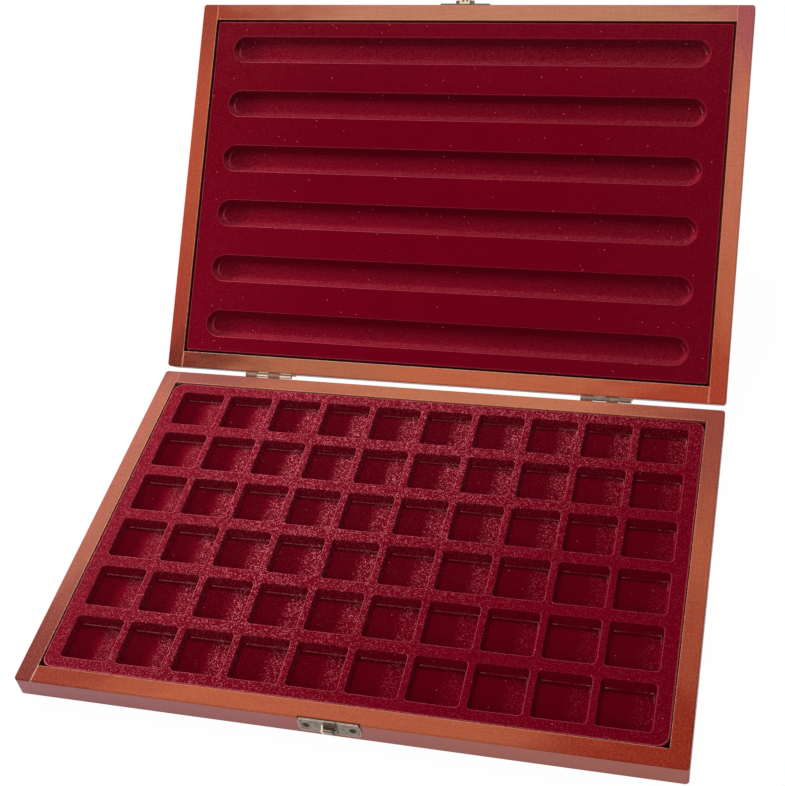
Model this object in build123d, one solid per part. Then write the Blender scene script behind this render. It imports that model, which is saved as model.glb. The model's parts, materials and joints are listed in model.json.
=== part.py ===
from build123d import *
import os

# Coin display case: two shallow wooden frames hinged along their back edges. The base holds a
# flocked tray with a grid of square coin pockets, the lid a flocked pad with one long round-ended
# slot for each row of coins. The case is modelled open, as it stands on show.
#
# Millimetres. X runs along the hinge, Y from the front of the base to the hinge, Z up. The origin
# is the centre of the base's underside. The lid's pieces are built as they lie when it is shut,
# and are then turned back about the hinge.

# ---------------------------------------------------------------- coin tray
columns = 10
rows = 6
pocket_size = 27.5            # square pocket at its mouth, for coins up to 27 mm
pocket_depth = 6.5
pocket_draft = 1.0            # each pocket wall leans in by this much at the floor
column_rib = 4.1              # rib between two pockets of a row, at the top
row_rib = 7.5                 # rib between two rows, at the top
tray_margin_x = 8.65          # from the outer pockets to the tray's ends
tray_margin_y = 7.35          # from the outer rows to the tray's long edges
tray_round = 7.0              # the tray's corners, seen from above
tray_floor_thickness = 1.5
tray_clearance = 0.4          # between the tray and the rails
tray_recess = 0.5             # the tray's face below the rim

# ---------------------------------------------------------------- wooden frames
rail_width = 10.0
base_panel_thickness = 5.0
lid_panel_thickness = 4.0
panel_lap = 4.0               # how far the panel's rabbet is cut into the rails
panel_clearance = 0.2         # between the panel's edge and the rabbet
corner_round = 2.0            # the case's upright corners
edge_round = 0.8              # the rails' long outer edges

# ---------------------------------------------------------------- lid pad
pad_clearance = 1.3
pad_round = 1.5
pad_recess = 0.5              # the pad's face below the lid's rim
pad_backing_thickness = 1.5
slot_depth = 4.5
slot_width = 16.7
slot_draft = 1.6              # each slot wall leans in by this much at its floor
slot_end_margin = 12.5        # from a slot's round end to the pad's end
slot_edge_margin = 9.9        # from the outer slots to the pad's long edges
slot_tip_trim = 0.8           # cuts off the feather edge where a slot's end meets its sides

# ---------------------------------------------------------------- hinges
lid_open_angle = 139.2
lid_gap = 0.3                 # between the two rims when the case is shut
leaf_thickness = 0.8
barrel_radius = 1.4
barrel_standoff = 1.7         # from the wood's face to the axis of a hinge or of the hasp
pin_radius = 0.7
pin_running_clearance = 0.05
knuckle_gap = 0.15            # along the axis, at each end of a knuckle
leaf_gap = 0.35               # between a leaf's edge and the barrel of the other leaf
hinge_length = 30.0
hinge_knuckles = 4
hinge_inset = 69.2            # from the case's end to the middle of a hinge
hinge_leaf_height = 8.0
hinge_screw_spacing = 20.0

# ---------------------------------------------------------------- latch
latch_offset = -1.0           # the latch sits just off the middle of the front
plate_length = 33.0
strike_plate_height = 9.8
hasp_plate_height = 8.6
plate_end_bulge = 1.2         # the plate's ends bow out by this much
plate_screw_spacing = 24.6
hook_width = 6.6
hook_drop = 1.5               # from the plate's top edge to the top of the hook
hook_reach = 3.6              # how far the hook stands out from the plate
hook_height = 6.0
hook_tuck = 1.4               # how far the hook's lower end turns back
hasp_neck_width = 7.0
hasp_neck_length = 2.3        # from the axis to where the flap widens
hasp_width = 11.8
hasp_bar = 2.3                # the flap's bar below its window
hasp_clearance = 0.3          # around the hook, inside the flap's window
hasp_axis_height = 1.8        # from the lid's rim to the hasp's axis
hasp_knuckle = 2.0            # each of the plate's two knuckles beside the flap
hasp_plate_rise = 0.5         # from the lid's rim to the plate's lower edge
hasp_eye_radius = 0.4         # two small holes near the flap's root
hasp_eye_spacing = 2.4

# ---------------------------------------------------------------- screws
screw_shank_radius = 1.0
screw_head_radius = 2.1
screw_head_dome = 0.25
screw_length = 5.5            # in the wood
screw_slot_width = 0.5
screw_slot_depth = 0.5
screw_clearance = 0.05

# ---------------------------------------------------------------- sizes that follow
pocket_pitch_x = pocket_size + column_rib
pocket_pitch_y = pocket_size + row_rib
tray_length = columns * pocket_size + (columns - 1) * column_rib + 2 * tray_margin_x
tray_depth = rows * pocket_size + (rows - 1) * row_rib + 2 * tray_margin_y
opening_length = tray_length + 2 * tray_clearance
opening_depth = tray_depth + 2 * tray_clearance
case_length = opening_length + 2 * rail_width
case_depth = opening_depth + 2 * rail_width
base_height = base_panel_thickness + tray_floor_thickness + pocket_depth + tray_recess
lid_height = lid_panel_thickness + pad_backing_thickness + slot_depth + pad_recess

pad_length = opening_length - 2 * pad_clearance
pad_depth = opening_depth - 2 * pad_clearance
slot_length = pad_length - 2 * slot_end_margin
slot_land = (pad_depth - 2 * slot_edge_margin - rows * slot_width) / (rows - 1)
slot_pitch = slot_width + slot_land

hinge_y = case_depth / 2 + barrel_standoff
hinge_z = base_height + lid_gap / 2
shut_height = base_height + lid_gap + lid_height
front_y = -case_depth / 2
lid_rim_z = base_height + lid_gap
hasp_y = front_y - barrel_standoff
hasp_z = lid_rim_z + hasp_axis_height

lid_shut = Pos(0, 0, shut_height) * Rot(X=180)
lid_open = Pos(0, hinge_y, hinge_z) * Rot(X=-lid_open_angle) * Pos(0, -hinge_y, -hinge_z)


# ---------------------------------------------------------------- helpers
def block(x_low, x_high, y_low, y_high, z_low, z_high):
    """A box given by its limits."""
    centre = Pos((x_low + x_high) / 2, (y_low + y_high) / 2, (z_low + z_high) / 2)
    return centre * Box(x_high - x_low, y_high - y_low, z_high - z_low)


def bar_along_x(outline, x_low, x_high):
    """A bar along X whose section is a list of (y, z) points."""
    return Pos(x_low, 0, 0) * extrude(Plane.YZ * Polygon(*outline, align=None), x_high - x_low)


def bar_along_y(outline, y_low, y_high):
    """A bar along Y whose section is a list of (x, z) points."""
    return Pos(0, y_high, 0) * extrude(Plane.XZ * Polygon(*outline, align=None), y_high - y_low)


def tube_along_x(radius, x_low, x_high, y, z):
    """A round bar along X."""
    return Pos((x_low + x_high) / 2, y, z) * Rot(Y=90) * Cylinder(radius, x_high - x_low)


def rounded_slab(length, depth, radius, z_low, z_high):
    """A slab with rounded corners, seen from above."""
    return Pos(0, 0, z_low) * extrude(RectangleRounded(length, depth, radius), z_high - z_low)


def centres(count, pitch):
    """Evenly spaced places about zero."""
    return [(i - (count - 1) / 2) * pitch for i in range(count)]


def write(name, *solids):
    """Writes one sub-part, with the rest pose's place already in its solids."""
    shape = solids[0] if len(solids) == 1 else Compound(children=list(solids))
    export_step(shape, os.path.join("parts", name + ".step"))


# ---------------------------------------------------------------- wooden frame
def shallow_frame(height, panel_thickness):
    """The four rails and the panel of a frame that lies with its panel down and its rim up."""
    body = rounded_slab(case_length, case_depth, corner_round, 0, height)
    outlines = body.edges().group_by(Axis.Z)
    body = fillet(outlines[0] + outlines[-1], edge_round)
    body -= block(-opening_length / 2, opening_length / 2, -opening_depth / 2, opening_depth / 2, 0, height)
    lap_x = opening_length / 2 + panel_lap
    lap_y = opening_depth / 2 + panel_lap
    body -= block(-lap_x, lap_x, -lap_y, lap_y, 0, panel_thickness)

    end_x = case_length / 2
    joint_x = opening_length / 2
    back_y = case_depth / 2
    rails = {
        "left": body & block(-end_x, -joint_x, -back_y, back_y, 0, height),
        "right": body & block(joint_x, end_x, -back_y, back_y, 0, height),
        "front": body & block(-joint_x, joint_x, -back_y, 0, 0, height),
        "back": body & block(-joint_x, joint_x, 0, back_y, 0, height),
    }
    edge_x = lap_x - panel_clearance
    edge_y = lap_y - panel_clearance
    panel = block(-edge_x, edge_x, -edge_y, edge_y, 0, panel_thickness)
    return rails, panel


# ---------------------------------------------------------------- coin tray
def rib_outline(middle, top_width, lean_low, lean_high, z_low, z_high):
    """A rib's section: its two sides lean out towards the floor by their own amounts."""
    low = middle - top_width / 2
    high = middle + top_width / 2
    return [(low - lean_low, z_low), (high + lean_high, z_low), (high, z_high), (low, z_high)]


def coin_tray():
    """The tray's floor, its ribs along the rows and the ribs between the pockets of each row."""
    z_seat = base_panel_thickness
    z_floor = z_seat + tray_floor_thickness
    z_face = z_floor + pocket_depth
    floor = rounded_slab(tray_length, tray_depth, tray_round, z_seat, z_floor)
    outline = rounded_slab(tray_length, tray_depth, tray_round, z_floor, z_face)
    half_length = tray_length / 2
    half_depth = tray_depth / 2

    long_ribs = []
    for y in centres(rows - 1, pocket_pitch_y):
        section = rib_outline(y, row_rib, pocket_draft, pocket_draft, z_floor, z_face)
        long_ribs.append(bar_along_x(section, -half_length, half_length))
    edge_y = half_depth - tray_margin_y / 2
    front = rib_outline(-edge_y, tray_margin_y, 0, pocket_draft, z_floor, z_face)
    back = rib_outline(edge_y, tray_margin_y, pocket_draft, 0, z_floor, z_face)
    for section in (front, back):
        long_ribs.append(bar_along_x(section, -half_length, half_length) & outline)

    cross_sections = [
        rib_outline(x, column_rib, pocket_draft, pocket_draft, z_floor, z_face)
        for x in centres(columns - 1, pocket_pitch_x)
    ]
    edge_x = half_length - tray_margin_x / 2
    cross_sections.append(rib_outline(-edge_x, tray_margin_x, 0, pocket_draft, z_floor, z_face))
    cross_sections.append(rib_outline(edge_x, tray_margin_x, pocket_draft, 0, z_floor, z_face))
    cross_ribs = []
    for y in centres(rows, pocket_pitch_y):
        row = bar_along_x(
            rib_outline(y, pocket_size, -pocket_draft, -pocket_draft, z_floor, z_face), -half_length, half_length
        )
        for section in cross_sections:
            cross_ribs.append(bar_along_y(section, y - pocket_size, y + pocket_size) & row)
    return floor, long_ribs, cross_ribs


# ---------------------------------------------------------------- lid pad
def lid_pad():
    """The pad's backing, the lands between its slots and the blocks that close the slots' ends."""
    z_seat = lid_panel_thickness
    z_floor = z_seat + pad_backing_thickness
    z_face = z_floor + slot_depth
    backing = rounded_slab(pad_length, pad_depth, pad_round, z_seat, z_floor)
    outline = rounded_slab(pad_length, pad_depth, pad_round, z_floor, z_face)
    half_length = pad_length / 2
    half_depth = pad_depth / 2

    bars = []
    for y in centres(rows - 1, slot_pitch):
        section = rib_outline(y, slot_land, slot_draft, slot_draft, z_floor, z_face)
        bars.append(bar_along_x(section, -half_length, half_length))
    edge_y = half_depth - slot_edge_margin / 2
    low_edge = rib_outline(-edge_y, slot_edge_margin, 0, slot_draft, z_floor, z_face)
    high_edge = rib_outline(edge_y, slot_edge_margin, slot_draft, 0, z_floor, z_face)
    for section in (low_edge, high_edge):
        bars.append(bar_along_x(section, -half_length, half_length) & outline)

    end_x = slot_length / 2 - slot_width / 2
    ends = []
    for y in centres(rows, slot_pitch):
        gap = rib_outline(y, slot_width, -slot_draft, -slot_draft, z_floor, z_face)
        cone = Cone(slot_width / 2 - slot_draft, slot_width / 2, slot_depth)
        for side in (-1, 1):
            limits = sorted((side * (end_x + slot_tip_trim), side * half_length))
            filling = bar_along_x(gap, *limits)
            ends.append(filling - Pos(side * end_x, y, (z_floor + z_face) / 2) * cone)
    return backing, bars, ends


# ---------------------------------------------------------------- screws
# A screw stands with its head's rim at z = 0 and its shank down. It is turned to face forward
# (-Y) or back (+Y).
face_front = Rot(X=90)
face_back = Rot(X=-90)


def wood_screw():
    """A countersunk screw with a slightly domed head and a cross recess."""
    sink = Pos(0, 0, -leaf_thickness / 2) * Cone(screw_shank_radius, screw_head_radius, leaf_thickness)
    shank = Pos(0, 0, -leaf_thickness - screw_length / 2) * Cylinder(screw_shank_radius, screw_length)
    ball_radius = (screw_head_radius**2 + screw_head_dome**2) / (2 * screw_head_dome)
    dome = Pos(0, 0, screw_head_dome - ball_radius) * Sphere(ball_radius)
    dome &= Pos(0, 0, screw_head_dome / 2) * Cylinder(screw_head_radius, screw_head_dome)
    recess_length = 1.3 * screw_head_radius
    recess = Box(recess_length, screw_slot_width, 2 * screw_slot_depth)
    recess += Box(screw_slot_width, recess_length, 2 * screw_slot_depth)
    return sink + shank + dome - Pos(0, 0, screw_head_dome) * recess


def plate_hole():
    """The countersunk hole for a screw, in a plate whose front is at z = 0."""
    return Pos(0, 0, -leaf_thickness / 2) * Cone(
        screw_shank_radius + screw_clearance, screw_head_radius + screw_clearance, leaf_thickness
    )


def pilot_hole():
    """The screw's hole in the wood, behind a plate whose front is at z = 0."""
    depth = screw_length + screw_clearance
    return Pos(0, 0, -leaf_thickness - depth / 2) * Cylinder(screw_shank_radius + screw_clearance, depth)


# ---------------------------------------------------------------- hinges
leaf_face_y = case_depth / 2 + leaf_thickness
hinge_places = {"left": -case_length / 2 + hinge_inset, "right": case_length / 2 - hinge_inset}
leaf_edge = barrel_radius + leaf_gap
base_screw_z = hinge_z - leaf_edge - hinge_leaf_height / 2
lid_screw_z = hinge_z + leaf_edge + hinge_leaf_height / 2


def hinge_screw_places(screw_z):
    """Where the four screws of two leaves at one height stand, facing back."""
    return [
        Pos(x + dx, leaf_face_y, screw_z) * face_back
        for x in hinge_places.values()
        for dx in centres(2, hinge_screw_spacing)
    ]


def hinge_leaf(x, is_lid):
    """A leaf on the back face, with every second knuckle of the barrel."""
    up = 1 if is_lid else -1
    screw_z = lid_screw_z if is_lid else base_screw_z
    limits = sorted((hinge_z + up * leaf_edge, hinge_z + up * (leaf_edge + hinge_leaf_height)))
    half = hinge_length / 2
    leaf = block(x - half, x + half, case_depth / 2, leaf_face_y, *limits)
    knuckle = hinge_length / hinge_knuckles
    bore = pin_radius + (pin_running_clearance if is_lid else 0)
    for i in range(1 if is_lid else 0, hinge_knuckles, 2):
        low = x - half + i * knuckle + (knuckle_gap if i else 0)
        high = x - half + (i + 1) * knuckle - (knuckle_gap if i < hinge_knuckles - 1 else 0)
        neck = sorted((hinge_z, hinge_z + up * leaf_edge))
        leaf += block(low, high, case_depth / 2, leaf_face_y, *neck)
        leaf += tube_along_x(barrel_radius, low, high, hinge_y, hinge_z)
    leaf -= tube_along_x(bore, x - half, x + half, hinge_y, hinge_z)
    for dx in centres(2, hinge_screw_spacing):
        leaf -= Pos(x + dx, leaf_face_y, screw_z) * face_back * plate_hole()
    return leaf


def hinge_pin(x):
    """The pin, held in the base leaf's knuckles."""
    return tube_along_x(pin_radius, x - hinge_length / 2, x + hinge_length / 2, hinge_y, hinge_z)


# ---------------------------------------------------------------- latch
plate_face_y = front_y - leaf_thickness
strike_top_z = base_height
strike_plate_z = strike_top_z - strike_plate_height
strike_screw_z = strike_plate_z + strike_plate_height / 2
hasp_plate_z = lid_rim_z + hasp_plate_rise
hasp_screw_z = hasp_plate_z + hasp_plate_height / 2
hook_top_z = strike_top_z - hook_drop
window_low = hasp_z - hook_top_z - hasp_clearance


def latch_screw_places(screw_z):
    """Where the two screws of a latch plate stand, facing forward."""
    return [Pos(latch_offset + dx, plate_face_y, screw_z) * face_front for dx in centres(2, plate_screw_spacing)]


def latch_plate(z_low, height, screw_z):
    """A flat plate on the front face, with bowed ends and two countersunk holes."""
    half_height = height / 2
    end_radius = (half_height**2 + plate_end_bulge**2) / (2 * plate_end_bulge)
    corner_x = plate_length / 2 - plate_end_bulge
    outline = Rectangle(2 * corner_x, height)
    for side in (-1, 1):
        disc = Pos(side * (plate_length / 2 - end_radius), 0) * Circle(end_radius)
        outline += disc & Pos(side * plate_length / 4, 0) * Rectangle(plate_length / 2, height)
    plate = extrude(Plane.XZ * outline, leaf_thickness)
    plate = Pos(latch_offset, front_y, z_low + half_height) * plate
    for place in latch_screw_places(screw_z):
        plate -= place * plate_hole()
    return plate


def strike_plate():
    """The base's plate, with a tongue pressed out of it and curled down into a hook."""
    plate = latch_plate(strike_plate_z, strike_plate_height, strike_screw_z)
    half = hook_width / 2
    window_z = hook_top_z - hook_height
    plate -= block(
        latch_offset - half, latch_offset + half, plate_face_y, front_y, window_z, hook_top_z - leaf_thickness
    )
    nose_y = plate_face_y - hook_reach
    bend = hook_height / 3
    outside = [
        (front_y, hook_top_z),
        (nose_y + bend, hook_top_z),
        (nose_y, hook_top_z - bend),
        (nose_y + hook_tuck, hook_top_z - hook_height),
    ]
    inside = [
        (nose_y + hook_tuck + leaf_thickness, hook_top_z - hook_height),
        (nose_y + leaf_thickness, hook_top_z - bend),
        (nose_y + bend, hook_top_z - leaf_thickness),
        (front_y, hook_top_z - leaf_thickness),
    ]
    path = Line(outside[0], outside[1])
    path += RadiusArc(outside[1], outside[2], bend)
    path += Line(outside[2], outside[3]) + Line(outside[3], inside[0]) + Line(inside[0], inside[1])
    path += RadiusArc(inside[1], inside[2], -(bend - leaf_thickness)) + Line(inside[2], inside[3])
    path += Line(inside[3], outside[0])
    section = Plane.YZ * make_face(path)
    hook = Pos(latch_offset - half, 0, 0) * extrude(section, hook_width)
    return plate + hook


def hook_far_radius():
    """How far the hook's lower end is from the hasp's axis when the case is shut."""
    end_y = plate_face_y - hook_reach + hook_tuck
    end_z = hook_top_z - hook_height
    return ((hasp_y - end_y) ** 2 + (hasp_z - end_z) ** 2) ** 0.5


def hasp_plate():
    """The lid's plate, notched for the flap, with a knuckle at each side of the notch."""
    plate = latch_plate(hasp_plate_z, hasp_plate_height, hasp_screw_z)
    half = hasp_neck_width / 2 + knuckle_gap
    plate -= block(
        latch_offset - half, latch_offset + half, plate_face_y, front_y, hasp_plate_z, hasp_z + leaf_edge
    )
    for side in (-1, 1):
        limits = sorted((latch_offset + side * half, latch_offset + side * (half + hasp_knuckle)))
        plate += tube_along_x(barrel_radius, *limits, hasp_y, hasp_z)
    reach = half + hasp_knuckle
    return plate - tube_along_x(pin_radius, latch_offset - reach, latch_offset + reach, hasp_y, hasp_z)


def hasp_pin():
    """The flap's pin, held in the plate's knuckles."""
    reach = hasp_neck_width / 2 + knuckle_gap + hasp_knuckle
    return tube_along_x(pin_radius, latch_offset - reach, latch_offset + reach, hasp_y, hasp_z)


def hasp_flap():
    """The swinging flap, built as it stands out from the lid: a neck, a shoulder and a window."""
    half_neck = hasp_neck_width / 2
    half_width = hasp_width / 2
    window_high = hook_far_radius() + hasp_clearance
    flap_end = window_high + hasp_bar
    shoulder = hasp_neck_length + (half_width - half_neck) / 2
    outline = Polygon(
        (-half_neck, 0),
        (half_neck, 0),
        (half_neck, hasp_neck_length),
        (half_width, shoulder),
        (half_width, flap_end),
        (-half_width, flap_end),
        (-half_width, shoulder),
        (-half_neck, hasp_neck_length),
        align=None,
    )
    flap_corners = outline.vertices().group_by(Axis.Y)[-1]
    outline = fillet(flap_corners, hasp_bar)
    half_window = hook_width / 2 + hasp_clearance
    outline -= Pos(0, (window_low + window_high) / 2) * Rectangle(2 * half_window, window_high - window_low)
    for x in centres(2, hasp_eye_spacing):
        outline -= Pos(x, hasp_neck_length) * Circle(hasp_eye_radius)
    flap = Pos(0, 0, -leaf_thickness / 2) * extrude(outline, leaf_thickness)
    flap += tube_along_x(barrel_radius, -half_neck, half_neck, 0, 0)
    flap -= tube_along_x(pin_radius + pin_running_clearance, -half_neck, half_neck, 0, 0)
    return Pos(latch_offset, hasp_y, hasp_z) * Rot(Z=180) * flap


# ---------------------------------------------------------------- the case
def build_case():
    """Builds every piece in its place and writes one file for each sub-part."""
    os.makedirs("parts", exist_ok=True)

    strike_places = latch_screw_places(strike_screw_z)
    hasp_places = latch_screw_places(hasp_screw_z)
    base_leaf_places = hinge_screw_places(base_screw_z)
    lid_leaf_places = hinge_screw_places(lid_screw_z)

    rails, panel = shallow_frame(base_height, base_panel_thickness)
    for place in strike_places:
        rails["front"] -= place * pilot_hole()
    for place in base_leaf_places:
        rails["back"] -= place * pilot_hole()
    for side, rail in rails.items():
        write("base_rail_" + side, rail)
    write("base_panel", panel)

    floor, long_ribs, cross_ribs = coin_tray()
    write("tray_floor", floor)
    write("tray_long_ribs", *long_ribs)
    write("tray_cross_ribs", *cross_ribs)

    write("strike_plate", strike_plate())
    write("strike_screws", *[place * wood_screw() for place in strike_places])
    for side, x in hinge_places.items():
        write("hinge_" + side + "_base_leaf", hinge_leaf(x, False))
        write("hinge_" + side + "_pin", hinge_pin(x))
        write("hinge_" + side + "_lid_leaf", lid_open * hinge_leaf(x, True))
    write("hinge_base_screws", *[place * wood_screw() for place in base_leaf_places])
    write("hinge_lid_screws", *[lid_open * place * wood_screw() for place in lid_leaf_places])

    rails, panel = shallow_frame(lid_height, lid_panel_thickness)
    # Turning the frame over to shut it swaps its front and back.
    shut_rails = {
        "left": lid_shut * rails["left"],
        "right": lid_shut * rails["right"],
        "front": lid_shut * rails["back"],
        "back": lid_shut * rails["front"],
    }
    for place in hasp_places:
        shut_rails["front"] -= place * pilot_hole()
    for place in lid_leaf_places:
        shut_rails["back"] -= place * pilot_hole()
    for side, rail in shut_rails.items():
        write("lid_rail_" + side, lid_open * rail)
    write("lid_panel", lid_open * lid_shut * panel)

    backing, bars, ends = lid_pad()
    write("pad_backing", lid_open * lid_shut * backing)
    write("pad_bars", *[lid_open * lid_shut * bar for bar in bars])
    write("pad_ends", *[lid_open * lid_shut * end for end in ends])

    write("hasp_plate", lid_open * hasp_plate())
    write("hasp_screws", *[lid_open * place * wood_screw() for place in hasp_places])
    write("hasp_pin", lid_open * hasp_pin())
    write("hasp_flap", lid_open * hasp_flap())


build_case()
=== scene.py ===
"""Coin display case: the looks of a hinged wooden case with a flocked coin tray and a slotted lid.

Lengths are in metres. The rim frame of a half of the case has its origin in the middle of that
half's rim, X along the hinge and Z out of the open side, so that both halves are built lying flat.
"""

import json
import logging
import math
from dataclasses import dataclass, field
from enum import Enum
from functools import partial
from typing import Any, ClassVar, Iterable, Sequence, Union

import bmesh
import bpy
from mathutils import Matrix, Vector, noise


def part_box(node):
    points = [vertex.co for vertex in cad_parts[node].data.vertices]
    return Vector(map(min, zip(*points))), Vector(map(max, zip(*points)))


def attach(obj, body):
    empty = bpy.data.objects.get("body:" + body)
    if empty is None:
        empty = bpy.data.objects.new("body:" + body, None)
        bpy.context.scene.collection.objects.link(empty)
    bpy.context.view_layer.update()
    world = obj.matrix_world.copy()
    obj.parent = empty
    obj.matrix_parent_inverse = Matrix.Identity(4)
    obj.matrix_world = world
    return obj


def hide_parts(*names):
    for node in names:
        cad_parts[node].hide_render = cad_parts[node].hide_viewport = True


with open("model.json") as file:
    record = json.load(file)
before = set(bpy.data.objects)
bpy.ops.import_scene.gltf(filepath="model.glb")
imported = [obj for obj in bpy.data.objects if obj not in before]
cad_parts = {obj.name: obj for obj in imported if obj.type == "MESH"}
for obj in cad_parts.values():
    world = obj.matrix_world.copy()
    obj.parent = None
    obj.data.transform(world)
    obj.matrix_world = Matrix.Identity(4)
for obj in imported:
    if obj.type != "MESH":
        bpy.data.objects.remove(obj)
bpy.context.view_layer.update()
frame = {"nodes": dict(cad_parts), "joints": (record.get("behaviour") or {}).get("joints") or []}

LOG = logging.getLogger("coin_case")

Colour = tuple[float, float, float, float]
Point = tuple[float, float]
Span = tuple[float, float]
Output = bpy.types.NodeSocket
Socket = Union[Output, float]
Shares = tuple[Socket, Socket]
Parts = Sequence[Output]
Vertices = Sequence[bmesh.types.BMVert]
Waves = Union[float, tuple[float, float, float]]
StainRun = tuple[tuple[float, "Stain"], ...]

MM = 0.001
PHOTO_WIDTH = 785
PHOTO_HEIGHT = 786
BARE = "bare_sheet"
LIP = "lip_highlight"
LEAST_ROUND = 0.4 * MM
MERGE_DISTANCE = 0.001 * MM


class Body(Enum):
    """The bodies that the formed sheets ride on."""

    BASE = "base"
    LID = "lid"


class Slot(Enum):
    """The record's material slots of the formed sheets."""

    TRAY_FLOCK = "tray_flock"
    PAD_FLOCK = "pad_flock"


class Grain(Enum):
    """Which axis of its rim frame the grain of a piece of wood runs along."""

    ALONG_X = 0
    ALONG_Y = 1


def srgb(red: int, green: int, blue: int) -> Colour:
    """Turns a colour as a screen shows it into the linear colour that a shader takes.

    Args:
        red: Red from 0 to 255.
        green: Green from 0 to 255.
        blue: Blue from 0 to 255.

    Returns:
        The linear colour with an alpha of one.
    """

    def linear(value: int) -> float:
        """One channel, from 0 to 255, as a linear share."""
        share = value / 255
        return share / 12.92 if share <= 0.04045 else ((share + 0.055) / 1.055) ** 2.4

    return linear(red), linear(green), linear(blue), 1.0


class Stain(Enum):
    """The tones that the stain takes along a rail."""

    APRICOT = srgb(181, 118, 91)
    PEACH = srgb(191, 126, 98)
    SALMON = srgb(184, 108, 80)
    BLUSH = srgb(201, 112, 86)
    TAWNY = srgb(196, 102, 70)
    COPPER = srgb(180, 65, 42)
    AMBER = srgb(172, 84, 57)
    HONEY = srgb(173, 102, 73)
    SIENNA = srgb(158, 64, 42)
    RUSSET = srgb(149, 49, 36)
    ROSE = srgb(153, 88, 72)
    ROSEWOOD = srgb(146, 65, 54)
    UMBER = srgb(130, 70, 63)
    MAUVE = srgb(174, 86, 90)
    BRICK = srgb(136, 48, 34)
    CLARET = srgb(142, 31, 14)
    MAROON = srgb(116, 44, 42)
    GARNET = srgb(103, 29, 23)


# ---------------------------------------------------------------- rim frames
def base_rim_matrix() -> Matrix:
    """Places the base's rim frame in the row frame."""
    rim_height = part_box("base_rail_front")[1].z
    return Matrix.Translation((0, 0, rim_height))


def lid_rim_matrix() -> Matrix:
    """Places the lid's rim frame in the row frame, with the lid open as it stands on show.

    Returns:
        The matrix that turns the lid's rim frame over, shuts it and swings it back open.
    """
    hinge = next(joint for joint in frame["joints"] if joint["name"] == "lid_hinge")
    axis_point = Vector(hinge["pos_m"])
    opening = math.radians(hinge["range_deg"][1])
    base_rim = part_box("base_rail_front")[1].z
    shut_rim = 2 * axis_point.z - base_rim
    shut = Matrix.Translation((0, 0, shut_rim)) @ Matrix.Rotation(math.pi, 4, "X")
    swing = Matrix.Rotation(-opening, 4, "X")
    return Matrix.Translation(axis_point) @ swing @ Matrix.Translation(-axis_point) @ shut


# ---------------------------------------------------------------- shader helpers
def set_constants(node: bpy.types.Node, constants: dict[str, Any]) -> None:
    """Sets a node's unlinked inputs, by name."""
    for name, value in constants.items():
        node.inputs[name].default_value = value


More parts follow.
